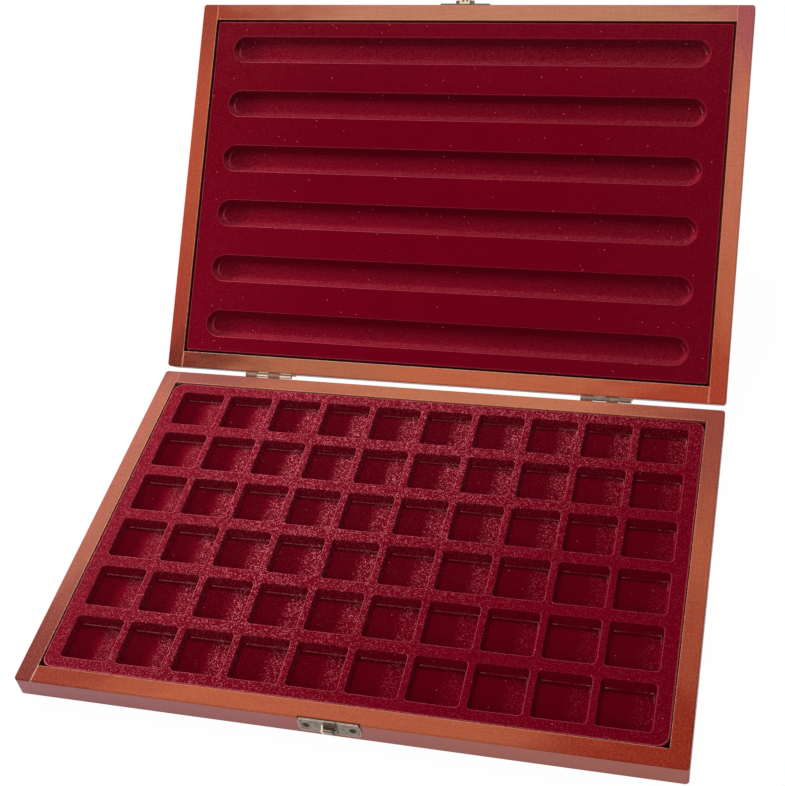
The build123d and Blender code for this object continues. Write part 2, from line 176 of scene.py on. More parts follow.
class ShaderGraph:
    """Adds nodes to one node tree, with a short call for each kind that the finishes use."""

    def __init__(self, tree: bpy.types.NodeTree) -> None:
        """Starts on an empty tree."""
        self.tree = tree
        self.tree.nodes.clear()

    def node(self, kind: str, **settings: Any) -> bpy.types.Node:
        """Adds a node.

        Args:
            kind: The node's type name.
            **settings: Attributes of the node to set.

        Returns:
            The new node.
        """
        new = self.tree.nodes.new(kind)
        for key, value in settings.items():
            setattr(new, key, value)
        return new

    def feed(self, target: bpy.types.NodeSocket, value: Any) -> None:
        """Links a socket to another, or sets its value.

        Args:
            target: The input socket.
            value: An output socket, or a plain value.
        """
        if isinstance(value, bpy.types.NodeSocket):
            self.tree.links.new(value, target)
        else:
            target.default_value = value

    def coordinates(self, kind: str = "Object") -> Output:
        """Gives one of the Texture Coordinate node's outputs."""
        return self.node("ShaderNodeTexCoord").outputs[kind]

    def split(self, vector: Any) -> Parts:
        """Splits a vector.

        Args:
            vector: The vector.

        Returns:
            Its X, Y and Z.
        """
        parts = self.node("ShaderNodeSeparateXYZ")
        self.feed(parts.inputs[0], vector)
        return parts.outputs

    def math(self, operation: str, *values: Socket, clamp: bool = False) -> Output:
        """Adds a Math node.

        Args:
            operation: The name of the operation.
            *values: The values that it takes.
            clamp: Whether the result is held between 0 and 1.

        Returns:
            The result.
        """
        new = self.node("ShaderNodeMath", operation=operation, use_clamp=clamp)
        for socket, value in zip(new.inputs, values):
            self.feed(socket, value)
        return new.outputs[0]

    def product(self, first: Socket, *others: Socket) -> Socket:
        """Multiplies values.

        Args:
            first: The first value.
            *others: The other values.

        Returns:
            The product.
        """
        for other in others:
            first = self.math("MULTIPLY", first, other)
        return first

    def rest_of(self, share: Socket) -> Output:
        """Gives what is left of one."""
        return self.math("SUBTRACT", 1.0, share)

    def away(self, value: Socket, middle: Socket = 0.0) -> Output:
        """Gives how far a value is from a middle, on either side."""
        return self.math("ABSOLUTE", self.math("SUBTRACT", value, middle))

    def vector(self, operation: str, first: Any, second: Any) -> Output:
        """Adds a Vector Math node.

        Args:
            operation: The name of the operation.
            first: The first vector.
            second: The second vector.

        Returns:
            The result, which is a value for a dot product or a distance and a vector otherwise.
        """
        new = self.node("ShaderNodeVectorMath", operation=operation)
        self.feed(new.inputs[0], first)
        self.feed(new.inputs[1], second)
        return new.outputs["Value" if operation in ("DOT_PRODUCT", "DISTANCE") else "Vector"]

    def mix(self, factor: Socket, first: Any, second: Any) -> Output:
        """Mixes two colours.

        Args:
            factor: The share of the second colour.
            first: The first colour.
            second: The second colour.

        Returns:
            The mixed colour.
        """
        new = self.node("ShaderNodeMix", data_type="RGBA")
        factor_input, first_input, second_input = new.inputs[0], new.inputs[6], new.inputs[7]
        self.feed(factor_input, factor)
        self.feed(first_input, first)
        self.feed(second_input, second)
        return new.outputs[2]

    def ramp(self, value: Socket, low: float, high: float, bottom: float = 0.0, top: float = 1.0) -> Output:
        """Maps a value smoothly from one range to another.

        Args:
            value: The value.
            low: The value that gives the bottom.
            high: The value that gives the top.
            bottom: The result at and below the low value.
            top: The result at and above the high value.

        Returns:
            The mapped value.
        """
        new = self.node("ShaderNodeMapRange", interpolation_type="SMOOTHSTEP")
        for socket, given in zip(new.inputs, (value, low, high, bottom, top)):
            self.feed(socket, given)
        return new.outputs[0]

    def noise(self, vector: Any, waves: Waves, octaves: float, roughness: float) -> Output:
        """Adds noise.

        Args:
            vector: Coordinates in metres.
            waves: Waves per metre, the same along every axis or one for each.
            octaves: How many finer noises are added to the first.
            roughness: How much they count.

        Returns:
            A value from 0 to 1, mostly near the middle.
        """
        stretch = waves if isinstance(waves, tuple) else (waves, waves, waves)
        new = self.node("ShaderNodeTexNoise")
        self.feed(new.inputs["Vector"], self.vector("MULTIPLY", vector, stretch))
        set_constants(new, {"Scale": 1.0, "Detail": octaves, "Roughness": roughness})
        return new.outputs[0]

    def cells(self, vector: Any, per_metre: float) -> tuple[Output, Output]:
        """Scatters one point in every small cell.

        Args:
            vector: Coordinates in metres.
            per_metre: How many cells there are in a metre.

        Returns:
            The distance to the nearest point, in cells, and that point's own random value.
        """
        new = self.node("ShaderNodeTexVoronoi")
        self.feed(new.inputs["Vector"], vector)
        set_constants(new, {"Scale": per_metre})
        chance = self.node("ShaderNodeSeparateColor")
        self.feed(chance.inputs[0], new.outputs["Color"])
        return new.outputs["Distance"], chance.outputs[0]

    def bump(self, height: Socket, distance: float, strength: float) -> Output:
        """Adds a Bump node.

        Args:
            height: The height, where 1 is one distance.
            distance: The bump's depth in metres.
            strength: How far the bump is followed.

        Returns:
            The bumped normal.
        """
        new = self.node("ShaderNodeBump")
        set_constants(new, {"Strength": strength, "Distance": distance})
        self.feed(new.inputs["Height"], height)
        return new.outputs[0]


@dataclass(frozen=True)
class NoiseBand:
    """A noise, and the range of it that a mask takes from none to all."""

    waves: Waves
    octaves: float
    roughness: float
    low: float
    high: float

    def add(self, graph: ShaderGraph, vector: Any) -> Output:
        """Adds the band's mask to a graph."""
        return graph.ramp(graph.noise(vector, self.waves, self.octaves, self.roughness), self.low, self.high)


class Effect:
    """A shader node group that is built once and placed in many materials."""

    title: ClassVar[str] = ""
    inputs: ClassVar[dict[str, Any]] = {"Vector": None}
    bands: ClassVar[dict[str, NoiseBand]] = {}

    @classmethod
    def build(cls, graph: ShaderGraph, given: dict[str, Output]) -> dict[str, Output]:
        """Builds the group's inside: one mask for each band.

        Args:
            graph: The group's graph.
            given: The group's inputs by name.

        Returns:
            The sockets that feed the outputs, by name.
        """
        return {name: band.add(graph, given["Vector"]) for name, band in cls.bands.items()}

    @classmethod
    def tree(cls) -> bpy.types.NodeTree:
        """Finds the group, or builds it the first time.

        Returns:
            The group's node tree.
        """
        found = bpy.data.node_groups.get(cls.title)
        if found:
            return found
        tree = bpy.data.node_groups.new(cls.title, "ShaderNodeTree")
        graph = ShaderGraph(tree)
        for name, default in cls.inputs.items():
            kind = "NodeSocketVector" if default is None else "NodeSocketFloat"
            socket = tree.interface.new_socket(name, in_out="INPUT", socket_type=kind)
            if default is not None:
                socket.default_value = default
        entry = graph.node("NodeGroupInput")
        made = cls.build(graph, {name: entry.outputs[name] for name in cls.inputs})
        for name in made:
            tree.interface.new_socket(name, in_out="OUTPUT", socket_type="NodeSocketFloat")
        leave = graph.node("NodeGroupOutput")
        for name, socket in made.items():
            graph.feed(leave.inputs[name], socket)
        return tree

    @classmethod
    def place(cls, graph: ShaderGraph, **values: Any) -> bpy.types.bpy_prop_collection:
        """Places the group in a material.

        Args:
            graph: The material's graph.
            **values: Values or sockets for the inputs.

        Returns:
            The group's outputs, by name.
        """
        new = graph.node("ShaderNodeGroup", node_tree=cls.tree())
        for name, value in values.items():
            graph.feed(new.inputs[name], value)
        return new.outputs


class WoodGrain(Effect):
    """The figure of straight-grained beech: X of its vector runs along the grain.

    It has streaks, pores, ray flecks, clouds of stain, cross marks of the plane and a fine mottle.
    """

    title = "wood_grain"
    bands = {
        "Streak": NoiseBand((40, 700, 700), 4.0, 0.6, 0.34, 0.66),
        "Pore": NoiseBand((240, 2600, 2600), 2.0, 0.5, 0.34, 0.66),
        "Fleck": NoiseBand((330, 1300, 1300), 1.0, 0.4, 0.68, 0.76),
        "Cloud": NoiseBand((22, 60, 60), 3.0, 0.55, 0.30, 0.70),
        "Chatter": NoiseBand((1050, 110, 110), 2.0, 0.5, 0.35, 0.65),
        "Mottle": NoiseBand((800, 1000, 1000), 2.0, 0.6, 0.36, 0.64),
    }


class EdgeWearAndLight(Effect):
    """A ragged mask along the sharp edges of a piece. It marks worn finish, and also where edge highlights
    and edge shade are painted.
    """

    title = "edge_wear_and_light"
    inputs = {"Vector": None, "Radius": 0.0005, "Raggedness": 0.6, "Waves": 400.0}
    sharp: ClassVar[Span] = (0.01, 0.18)

    @classmethod
    def build(cls, graph: ShaderGraph, given: dict[str, Output]) -> dict[str, Output]:
        """Compares the true normal with one that is rounded over the edges.

        Args:
            graph: The group's graph.
            given: The group's inputs by name.

        Returns:
            The output sockets by name.
        """
        rounded = graph.node("ShaderNodeBevel", samples=6)
        graph.feed(rounded.inputs["Radius"], given["Radius"])
        true = graph.node("ShaderNodeNewGeometry")
        facing = graph.vector("DOT_PRODUCT", rounded.outputs[0], true.outputs["Normal"])
        edge = graph.ramp(graph.rest_of(facing), *cls.sharp)
        spread = graph.node("ShaderNodeTexNoise")
        graph.feed(spread.inputs["Vector"], given["Vector"])
        graph.feed(spread.inputs["Scale"], given["Waves"])
        ragged = graph.product(given["Raggedness"], graph.ramp(spread.outputs[0], 0.38, 0.62))
        return {"Mask": graph.math("MULTIPLY", edge, graph.rest_of(ragged), clamp=True)}


class FlockPile(Effect):
    """Short fibres stood on end: fine and bright tips, the grit of the pile, its lie and lint."""

    title = "flock_pile"
    bands = {
        "Grit": NoiseBand(2300, 1.0, 0.5, 0.25, 0.75),
        "Lie": NoiseBand(30, 3.0, 0.5, 0.3, 0.7),
    }
    fine_cells: ClassVar[float] = 2500
    bright_cells: ClassVar[float] = 2200
    lint_cells: ClassVar[float] = 210
    lint_radius: ClassVar[float] = 0.07
    lint_rarity: ClassVar[float] = 0.5

    @classmethod
    def build(cls, graph: ShaderGraph, given: dict[str, Output]) -> dict[str, Output]:
        """Adds fine specks, sparse bright ones and a few dots of lint to the bands.

        Args:
            graph: The group's graph.
            given: The group's inputs by name.

        Returns:
            The output sockets by name.
        """
        place = given["Vector"]
        made = super().build(graph, given)
        made["Fine"] = graph.ramp(graph.cells(place, cls.fine_cells)[1], 0.2, 1.0)
        made["Bright"] = graph.ramp(graph.cells(place, cls.bright_cells)[1], 0.83, 0.95)
        distance, chance = graph.cells(place, cls.lint_cells)
        dot = graph.ramp(distance, cls.lint_radius, cls.lint_radius * 0.6)
        made["Lint"] = graph.product(dot, graph.math("GREATER_THAN", chance, cls.lint_rarity))
        return made


class Patina(Effect):
    """Tarnish in patches, fine scratches and pinholes on old metal."""

    title = "patina"
    bands = {
        "Tarnish": NoiseBand(360, 4.0, 0.6, 0.36, 0.66),
        "Scratch": NoiseBand((260, 260, 5200), 2.0, 0.5, 0.52, 0.68),
        "Pits": NoiseBand(2600, 2.0, 0.6, 0.56, 0.72),
    }


# ---------------------------------------------------------------- finishes
def new_material(
    name: str, constants: dict[str, Any]
) -> tuple[bpy.types.Material, ShaderGraph, bpy.types.Node]:
    """Makes a material with one Principled shader.

    Args:
        name: The material's name.
        constants: The shader's plain values, by the name of their input.

    Returns:
        The material, its graph and its shader.
    """
    material = bpy.data.materials.new(name)
    material.use_nodes = True
    graph = ShaderGraph(material.node_tree)
    shader = graph.node("ShaderNodeBsdfPrincipled")
    output = graph.node("ShaderNodeOutputMaterial")
    graph.feed(output.inputs["Surface"], shader.outputs[0])
    set_constants(shader, constants)
    return material, graph, shader


def rim_coordinates(graph: ShaderGraph, rim: Matrix) -> Output:
    """Gives a CAD node's coordinates in its rim frame, in metres.

    Args:
        graph: The material's graph.
        rim: Where the rim frame is in the row frame.

    Returns:
        The coordinates.
    """
    back = rim.inverted()
    mapping = graph.node("ShaderNodeMapping", vector_type="POINT")
    set_constants(mapping, {"Location": back.to_translation(), "Rotation": back.to_euler()})
    graph.feed(mapping.inputs["Vector"], graph.coordinates())
    return mapping.outputs[0]


@dataclass(frozen=True)
class StainedBeech:
    """Beech under a red-brown stain and a satin varnish, on one piece of a frame, with a painted reflection
    on its outer sides and painted shade on its inner walls, its outer edges and the groove above the latch.

    The stain's run gives its tones at places along the grain, from -1 at the piece's low end to 1.
    """

    rim: Matrix
    grain: Grain
    run: StainRun
    seed: float
    chatter: float = 0.06
    # share of the painted shade along the outer edges
    edge_soil: float = 0.8
    # shares of the painted reflection of the white floor, on the front side and on the other outer sides
    front_reflection: float = 0.2
    side_reflection: float = 0.2
    # where along the front rail the painted shadow of the latch's groove lies
    grime_span: Span = (1.0, 1.0)
    pale_edge: bool = False
    pale_joint: bool = False
    inner_wear: float = 1.0
    joint_lines: Span = (0.0, 0.0)
    wall_depth: float = 0.9 * MM
    face_depth: float = 0.9 * MM
    inner_edge: float = 3.0 * MM
    half_length: float = 175 * MM
    half_depth: float = 119 * MM
    rail_width: float = 10 * MM
    bare_wood: Colour = srgb(232, 168, 128)
    pale_wood: Colour = srgb(250, 214, 196)
    # dark stain of the pores and grain, also used as the painted shade of the inner walls, the outer edges
    # and the groove
    pore_stain_and_shade: Colour = srgb(78, 26, 18)
    # tones of the painted reflection at the left and the right end
    left_reflection: Colour = srgb(152, 89, 93)
    right_reflection: Colour = srgb(160, 91, 79)
    reflection_fade: Span = (-160 * MM, 160 * MM)
    reflection_inset: float = 0.5 * MM
    reflection_blend: float = 0.3 * MM
    wear_radius: float = 0.8 * MM
    wear_waves: float = 420
    end_margins: Span = (-0.5 * MM, 0.3 * MM)
    outer_margin: float = 1.0 * MM
    streak: float = 0.09
    pore: float = 0.05
    fleck: float = 0.35
    mottle: float = 0.05
    lift: float = 0.06
    wall_shade: float = 0.85
    # strength, height and insets of the groove's painted shadow
    groove_shadow_share: float = 0.85
    groove_shadow_height: float = 2.0 * MM
    groove_shadow_insets: Span = (1.4 * MM, 0.6 * MM)
    line_share: float = 0.45
    line_width: float = 0.6 * MM
    line_wander: float = 0.8 * MM
    line_waves: float = 150
    line_margin: float = 0.9 * MM
    ragged_waves: float = 800
    middle_blend: Span = (-10 * MM, 10 * MM)
    roughness: float = 0.38
    relief: float = 0.025 * MM

    @property
    def half_opening(self) -> Vector:
        """Half the rim's opening, which the tray fills."""
        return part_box("tray_floor")[1]

    @property
    def joint_x(self) -> float:
        """Where the rails butt, on either side of the middle."""
        return self.half_length - self.rail_width

    def material(self, name: str) -> bpy.types.Material:
        """Builds the material.

        Args:
            name: The material's name.

        Returns:
            The material.
        """
        constants = {"Coat Roughness": 0.24, "IOR": 1.5, "Specular IOR Level": 0.06}
        material, graph, shader = new_material(name, constants)
        place = rim_coordinates(graph, self.rim)
        parts = graph.split(place)
        figure = self.figure(graph, parts)
        inside = self.inner_mask(graph, parts)
        outside = graph.rest_of(inside)
        outer_side = graph.product(graph.math("LESS_THAN", parts[2], -self.face_depth), outside)
        # painted shade on the inner walls below the rim, in the gap beside the tray
        wall = graph.product(graph.math("LESS_THAN", parts[2], -self.wall_depth), inside, self.wall_shade)
        edge_group = EdgeWearAndLight.place(
            graph, Vector=place, Radius=self.wear_radius, Raggedness=0.4, Waves=self.wear_waves
        )
        edge_mask = edge_group["Mask"]
        # bare wood along the inner edges: worn finish, partly a painted edge highlight
        wear_and_highlight = graph.product(edge_mask, inside, self.opening_span(graph, parts), self.inner_wear)
        # painted shade along the outer edges, and the painted shadow in the groove above the latch's plate
        edge_and_groove_shade = graph.product(edge_mask, outside, self.edge_soil, self.clear_of_joint(graph, parts))
        edge_and_groove_shade = graph.math("MAXIMUM", edge_and_groove_shade, self.groove_shadow_mask(graph, parts))
        joint = self.joint_mask(graph, place, parts)

        colour = self.stained(graph, parts, figure)
        # painted reflection: a pinkish tone on the outer sides stands in for the varnish reflecting the white
        # floor
        colour = self.with_painted_reflection(graph, parts, outer_side, colour)
        colour = graph.mix(wall, colour, self.pore_stain_and_shade)
        colour = graph.mix(edge_and_groove_shade, colour, self.pore_stain_and_shade)
        colour = graph.mix(wear_and_highlight, colour, self.pale_wood if self.pale_edge else self.bare_wood)
        colour = graph.mix(joint, colour, self.joint_tone(graph, parts))
        graph.feed(shader.inputs["Base Color"], colour)

        worn = graph.product(graph.math("MAXIMUM", wear_and_highlight, joint), 0.2)
        rough = graph.math("MULTIPLY_ADD", figure["Streak"], 0.10, self.roughness)
        graph.feed(shader.inputs["Roughness"], graph.math("ADD", rough, worn))
        graph.feed(shader.inputs["Coat Weight"], graph.math("MULTIPLY_ADD", outer_side, 0.3, 0.03))
        height = graph.math("ADD", figure["Streak"], graph.product(figure["Pore"], 0.7))
        graph.feed(shader.inputs["Normal"], graph.bump(height, self.relief, 0.5))
        return material

    def figure(self, graph: ShaderGraph, parts: Parts) -> bpy.types.bpy_prop_collection:
        """Lays the beech's figure along the piece's grain, at a spot of the piece's own.

        Args:
            graph: The material's graph.
            parts: The separated rim coordinates.

        Returns:
            The figure's masks, by name.
        """
        order = (0, 1, 2) if self.grain is Grain.ALONG_X else (1, 0, 2)
        turned = graph.node("ShaderNodeCombineXYZ")
        for socket, index in zip(turned.inputs, order):
            graph.feed(socket, parts[index])
        spot = (self.seed, self.seed * 0.7, self.seed * 1.3)
        return WoodGrain.place(graph, Vector=graph.vector("ADD", turned.outputs[0], spot))

    def stained(self, graph: ShaderGraph, parts: Parts, figure: bpy.types.bpy_prop_collection) -> Output:
        """Lays the run's tones along the piece with a cloudy border between them, and the figure's marks.

        Args:
            graph: The material's graph.
            parts: The separated rim coordinates.
            figure: The figure's masks.

        Returns:
            The stain's colour.
        """
        half_run = (self.half_length, self.half_depth)[self.grain.value]
        drift = graph.product(graph.math("SUBTRACT", figure["Cloud"], 0.5), 0.2)
        share = graph.math("ADD", graph.math("DIVIDE", parts[self.grain.value], half_run), drift)
        place, tone = self.run[0]
        colour: Any = tone.value
        for next_place, next_tone in self.run[1:]:
            colour = graph.mix(graph.ramp(share, place, next_place), colour, next_tone.value)
            place = next_place
        for mark in ("Streak", "Pore", "Fleck", "Mottle", "Chatter"):
            strength = getattr(self, mark.lower())
            colour = graph.mix(graph.product(figure[mark], strength), colour, self.pore_stain_and_shade)
        return graph.mix(graph.product(graph.rest_of(figure["Mottle"]), self.lift), colour, self.bare_wood)

    def with_painted_reflection(self, graph: ShaderGraph, parts: Parts, outer_side: Socket, colour: Socket) -> Output:
        """Paints a pinkish reflection of the white floor on the varnish of the outer sides, most on the front
        one.

        Args:
            graph: The material's graph.
            parts: The separated rim coordinates.
            outer_side: The outer sides' mask.
            colour: The colour under the painted reflection.

        Returns:
            The colour with the painted reflection.
        """
        edge = self.half_depth - self.reflection_inset
        share = graph.ramp(parts[1], -edge, -edge - self.reflection_blend, self.side_reflection, self.front_reflection)
        right = graph.ramp(parts[0], *self.reflection_fade)
        reflection_tone = graph.mix(right, self.left_reflection, self.right_reflection)
        return graph.mix(graph.product(outer_side, share), colour, reflection_tone)

    def clear_of_joint(self, graph: ShaderGraph, parts: Parts) -> Output:
        """Marks what lies away from the butt joints; only there do the outer edges get their painted shade.
        """
        from_joint = graph.away(graph.math("ABSOLUTE", parts[0]), self.joint_x)
        return graph.math("GREATER_THAN", from_joint, self.line_margin)

    def groove_shadow_mask(self, graph: ShaderGraph, parts: Parts) -> Output:
        """Marks the painted shadow in the groove along the front edge, where the latch's plate meets the
        wood.

        Args:
            graph: The material's graph.
            parts: The separated rim coordinates.

        Returns:
            The groove's mask.
        """
        across, along, height = parts
        low, high = self.grime_span
        after = graph.math("GREATER_THAN", across, low)
        before = graph.math("LESS_THAN", across, high)
        top = graph.math("GREATER_THAN", height, -self.groove_shadow_height)
        front = graph.ramp(along, *(inset - self.half_depth for inset in self.groove_shadow_insets))
        return graph.product(after, before, top, front, self.groove_shadow_share)

    def opening_span(self, graph: ShaderGraph, parts: Parts) -> Output:
        """Marks the length of the rail that borders the opening, short of the rail's own ends.

        Args:
            graph: The material's graph.
            parts: The separated rim coordinates.

        Returns:
            The length's mask.
        """
        reach = self.half_opening[self.grain.value] + self.end_margins[self.grain.value]
        return graph.math("LESS_THAN", graph.math("ABSOLUTE", parts[self.grain.value]), reach)

    def inner_mask(self, graph: ShaderGraph, parts: Parts) -> Output:
        """Marks what lies near the inner edge of the rim.

        Args:
            graph: The material's graph.
            parts: The separated rim coordinates.

        Returns:
            One near the inner edge and none at the outer one.
        """
        margins = (self.outer_margin, self.inner_edge)
        if self.grain is Grain.ALONG_Y:
            margins = (self.inner_edge, self.outer_margin)
        far = [
            graph.math("GREATER_THAN", graph.math("ABSOLUTE", part), half + margin)
            for part, half, margin in zip(parts, self.half_opening, margins)
        ]
        return graph.rest_of(graph.math("MAXIMUM", *far))

    def joint_tone(self, graph: ShaderGraph, parts: Parts) -> Any:
        """Chooses the tone of the line at a butt joint, which may be paler at low Y.

        Args:
            graph: The material's graph.
            parts: The separated rim coordinates.

        Returns:
            The tone.
        """
        if not self.pale_joint:
            return self.bare_wood
        return graph.mix(graph.math("LESS_THAN", parts[1], 0.0), self.bare_wood, self.pale_wood)

    def joint_mask(self, graph: ShaderGraph, place: Socket, parts: Parts) -> Output:
        """Marks a ragged line of bare wood on the rim at the butt joints, thinner at high Y.

        Args:
            graph: The material's graph.
            place: The rim coordinates.
            parts: The same, separated.

        Returns:
            The line's mask.
        """
        across, along, height = parts
        wave = graph.math("SUBTRACT", graph.noise(place, self.line_waves, 2.0, 0.55), 0.5)
        line_x = graph.math("MULTIPLY_ADD", wave, -self.line_wander, self.joint_x)
        off = graph.away(graph.math("ABSOLUTE", across), line_x)
        end = graph.math("GREATER_THAN", graph.math("ABSOLUTE", along), self.half_opening.y)
        face = graph.math("GREATER_THAN", height, -self.face_depth)
        side = graph.ramp(across, *self.middle_blend, *self.joint_lines)
        far = graph.ramp(along, *self.middle_blend, 1.0, 0.5)
        ragged = graph.ramp(graph.noise(place, self.ragged_waves, 2.0, 0.6), 0.3, 0.65, 0.4, 1.0)
        width = graph.product(ragged, side, far, self.line_width)
        return graph.product(graph.math("LESS_THAN", off, width), face, end, self.line_share)


@dataclass(frozen=True)
class CrimsonFlock:
    """Crimson nylon flock on a formed sheet, thin enough in the creases for the sheet to show, which is
    painted brighter there as a shine.
    """

    pile_depth: float
    ground: Colour
    well: Colour
    shade: Colour = srgb(88, 0, 15)
    # pink of the fibre tips, painted as glints where the light falls on them
    tips: Colour = srgb(226, 112, 126)
    # colour of the lips' painted highlight
    lip: Colour = srgb(224, 108, 124)
    # colour of the bare sheet, of its painted shine in the creases, and of lint
    sheet: Colour = srgb(255, 140, 148)
    sheen: Colour = srgb(255, 96, 120)
    well_top: float = 1.0 * MM
    crease_power: float = 1.0
    grit_share: float = 0.35
    lie_share: float = 0.15
    lint_share: float = 0.6
    lip_cells: float = 1500
    lip_fade: Span = (-150 * MM, 150 * MM)
    crease_waves: float = 1300

    def material(self, name: str) -> bpy.types.Material:
        """Builds the material.

        Args:
            name: The material's name.

        Returns:
            The material.
        """
        constants = {
            "Roughness": 0.9,
            "Specular IOR Level": 0.02,
            "Sheen Weight": 0.05,
            "Sheen Roughness": 0.35,
            "Sheen Tint": self.sheen,
        }
        material, graph, shader = new_material(name, constants)
        place = graph.coordinates()
        across, along, height = graph.split(place)
        pile = FlockPile.place(graph, Vector=place)
        in_well = graph.ramp(height, -self.well_top, -self.well_top - MM)
        fine, bright = self.glint_shares(graph, across, along, height)
        colour = graph.mix(in_well, self.land(graph, across, along), self.deep(graph, along))
        layers = (
            (graph.ramp(pile["Grit"], 0.0, 1.0, self.grit_share, 0.0), self.shade),
            (graph.product(pile["Lie"], self.lie_share), self.shade),
            # fine and bright tips: painted glints, strongest where the light falls
            (graph.product(pile["Fine"], fine), self.tips),
            (graph.product(pile["Bright"], bright), self.tips),
            # the lips' painted highlight
            (self.lip_highlight(graph, place, across), self.lip),
            # the bare crease, with its painted shine
            (self.bare_crease(graph, place), self.sheet),
            (graph.product(pile["Lint"], self.lint_share), self.sheet),
        )
        for share, tone in layers:
            colour = graph.mix(share, colour, tone)
        graph.feed(shader.inputs["Base Color"], colour)
        graph.feed(shader.inputs["Normal"], graph.bump(pile["Grit"], self.pile_depth, 0.9))
        return material

    def lip_highlight(self, graph: ShaderGraph, place: Socket, across: Socket) -> Socket:
        """Breaks the lips' painted highlight up into grains, fewer toward the right.

        Args:
            graph: The material's graph.
            place: The sheet's coordinates.
            across: The place along the hinge.

        Returns:
            The share of the lip's colour.
        """
        marked = graph.node("ShaderNodeAttribute", attribute_name=LIP).outputs["Fac"]
        grains = graph.ramp(graph.cells(place, self.lip_cells)[1], 0.0, 0.7, 0.4, 1.0)
        return graph.product(marked, grains, graph.ramp(across, *self.lip_fade, 1.0, 0.6))

    def bare_crease(self, graph: ShaderGraph, place: Socket) -> Socket:
        """Breaks the bare creases up: the sheet showing through, painted brighter as a shine.

        Args:
            graph: The material's graph.
            place: The sheet's coordinates.

        Returns:
            The share of the sheet's colour.
        """
        marked = graph.node("ShaderNodeAttribute", attribute_name=BARE).outputs["Fac"]
        broken = graph.ramp(graph.noise(place, self.crease_waves, 1.0, 0.5), 0.42, 0.56, 0.15, 1.0)
        return graph.product(graph.math("POWER", marked, self.crease_power), broken)

    def land(self, graph: ShaderGraph, across: Socket, along: Socket) -> Any:
        """Gives the colour of the face between the pockets."""
        return self.ground

    def deep(self, graph: ShaderGraph, along: Socket) -> Any:
        """Gives the colour inside the pockets."""
        return self.well

    def glint_shares(self, graph: ShaderGraph, across: Socket, along: Socket, height: Socket) -> Shares:
        """Finds where the fibre tips show as painted glints, where the light falls on them. Each kind of
        sheet has its own.

        Args:
            graph: The material's graph.
            across: The place along the hinge.
            along: The place from the front to the back.
            height: The place above the rim.

        Returns:
            The share of the fine tips and of the bright ones that show.
        """
        raise NotImplementedError


@dataclass(frozen=True)
class TrayFlock(CrimsonFlock):
    """The tray's flock: painted glints of the fibre tips toward the back left, nearest the key light, and in
    each pocket on its right, out of its left wall's shadow.
    """

    pitch: float = 31.6 * MM
    floor_top: float = 5.6 * MM
    slant: float = 0.9
    fine_fade: Span = (-150 * MM, 145 * MM)
    fine_most: float = 0.085
    bright_fade: Span = (-50 * MM, 140 * MM)
    bright_shares: Span = (0.84, 0.09)
    left_fade: Span = (-160 * MM, -60 * MM)
    left_share: float = 0.35
    wall_share: float = 0.3
    floor_blend: float = 0.6 * MM
    lit_cell: Span = (0.50, 0.70)
    lit_shares: Span = (0.10, 1.3)

    def glint_shares(self, graph: ShaderGraph, across: Socket, along: Socket, height: Socket) -> Shares:
        """Fades the painted glints toward the front right, on the walls and on the left of each floor, where
        the light is weaker or shaded.

        Args:
            graph: The material's graph.
            across: The place along the hinge.
            along: The place from the front to the back.
            height: The place above the rim.

        Returns:
            The share of the fine tips and of the bright ones that show.
        """
        way = graph.math("SUBTRACT", across, graph.product(along, self.slant))
        fine = graph.ramp(way, *self.fine_fade, self.fine_most, 0.0)
        bright = graph.ramp(way, *self.bright_fade, *self.bright_shares)
        bright = graph.product(bright, graph.ramp(across, *self.left_fade, self.left_share, 1.0))
        # the right part of each floor, out of the left wall's shadow, gets the most painted glints
        in_cell = graph.math("FRACT", graph.math("DIVIDE", across, self.pitch))
        lit = graph.ramp(in_cell, *self.lit_cell, *self.lit_shares)
        wall = graph.ramp(height, -self.well_top * 0.7, -self.well_top * 1.5, 1.0, self.wall_share)
        floor = graph.ramp(height, -self.floor_top, -self.floor_top - self.floor_blend)
        share = graph.math("ADD", wall, graph.product(floor, graph.math("SUBTRACT", lit, wall)))
        return graph.product(fine, share), graph.product(bright, share)


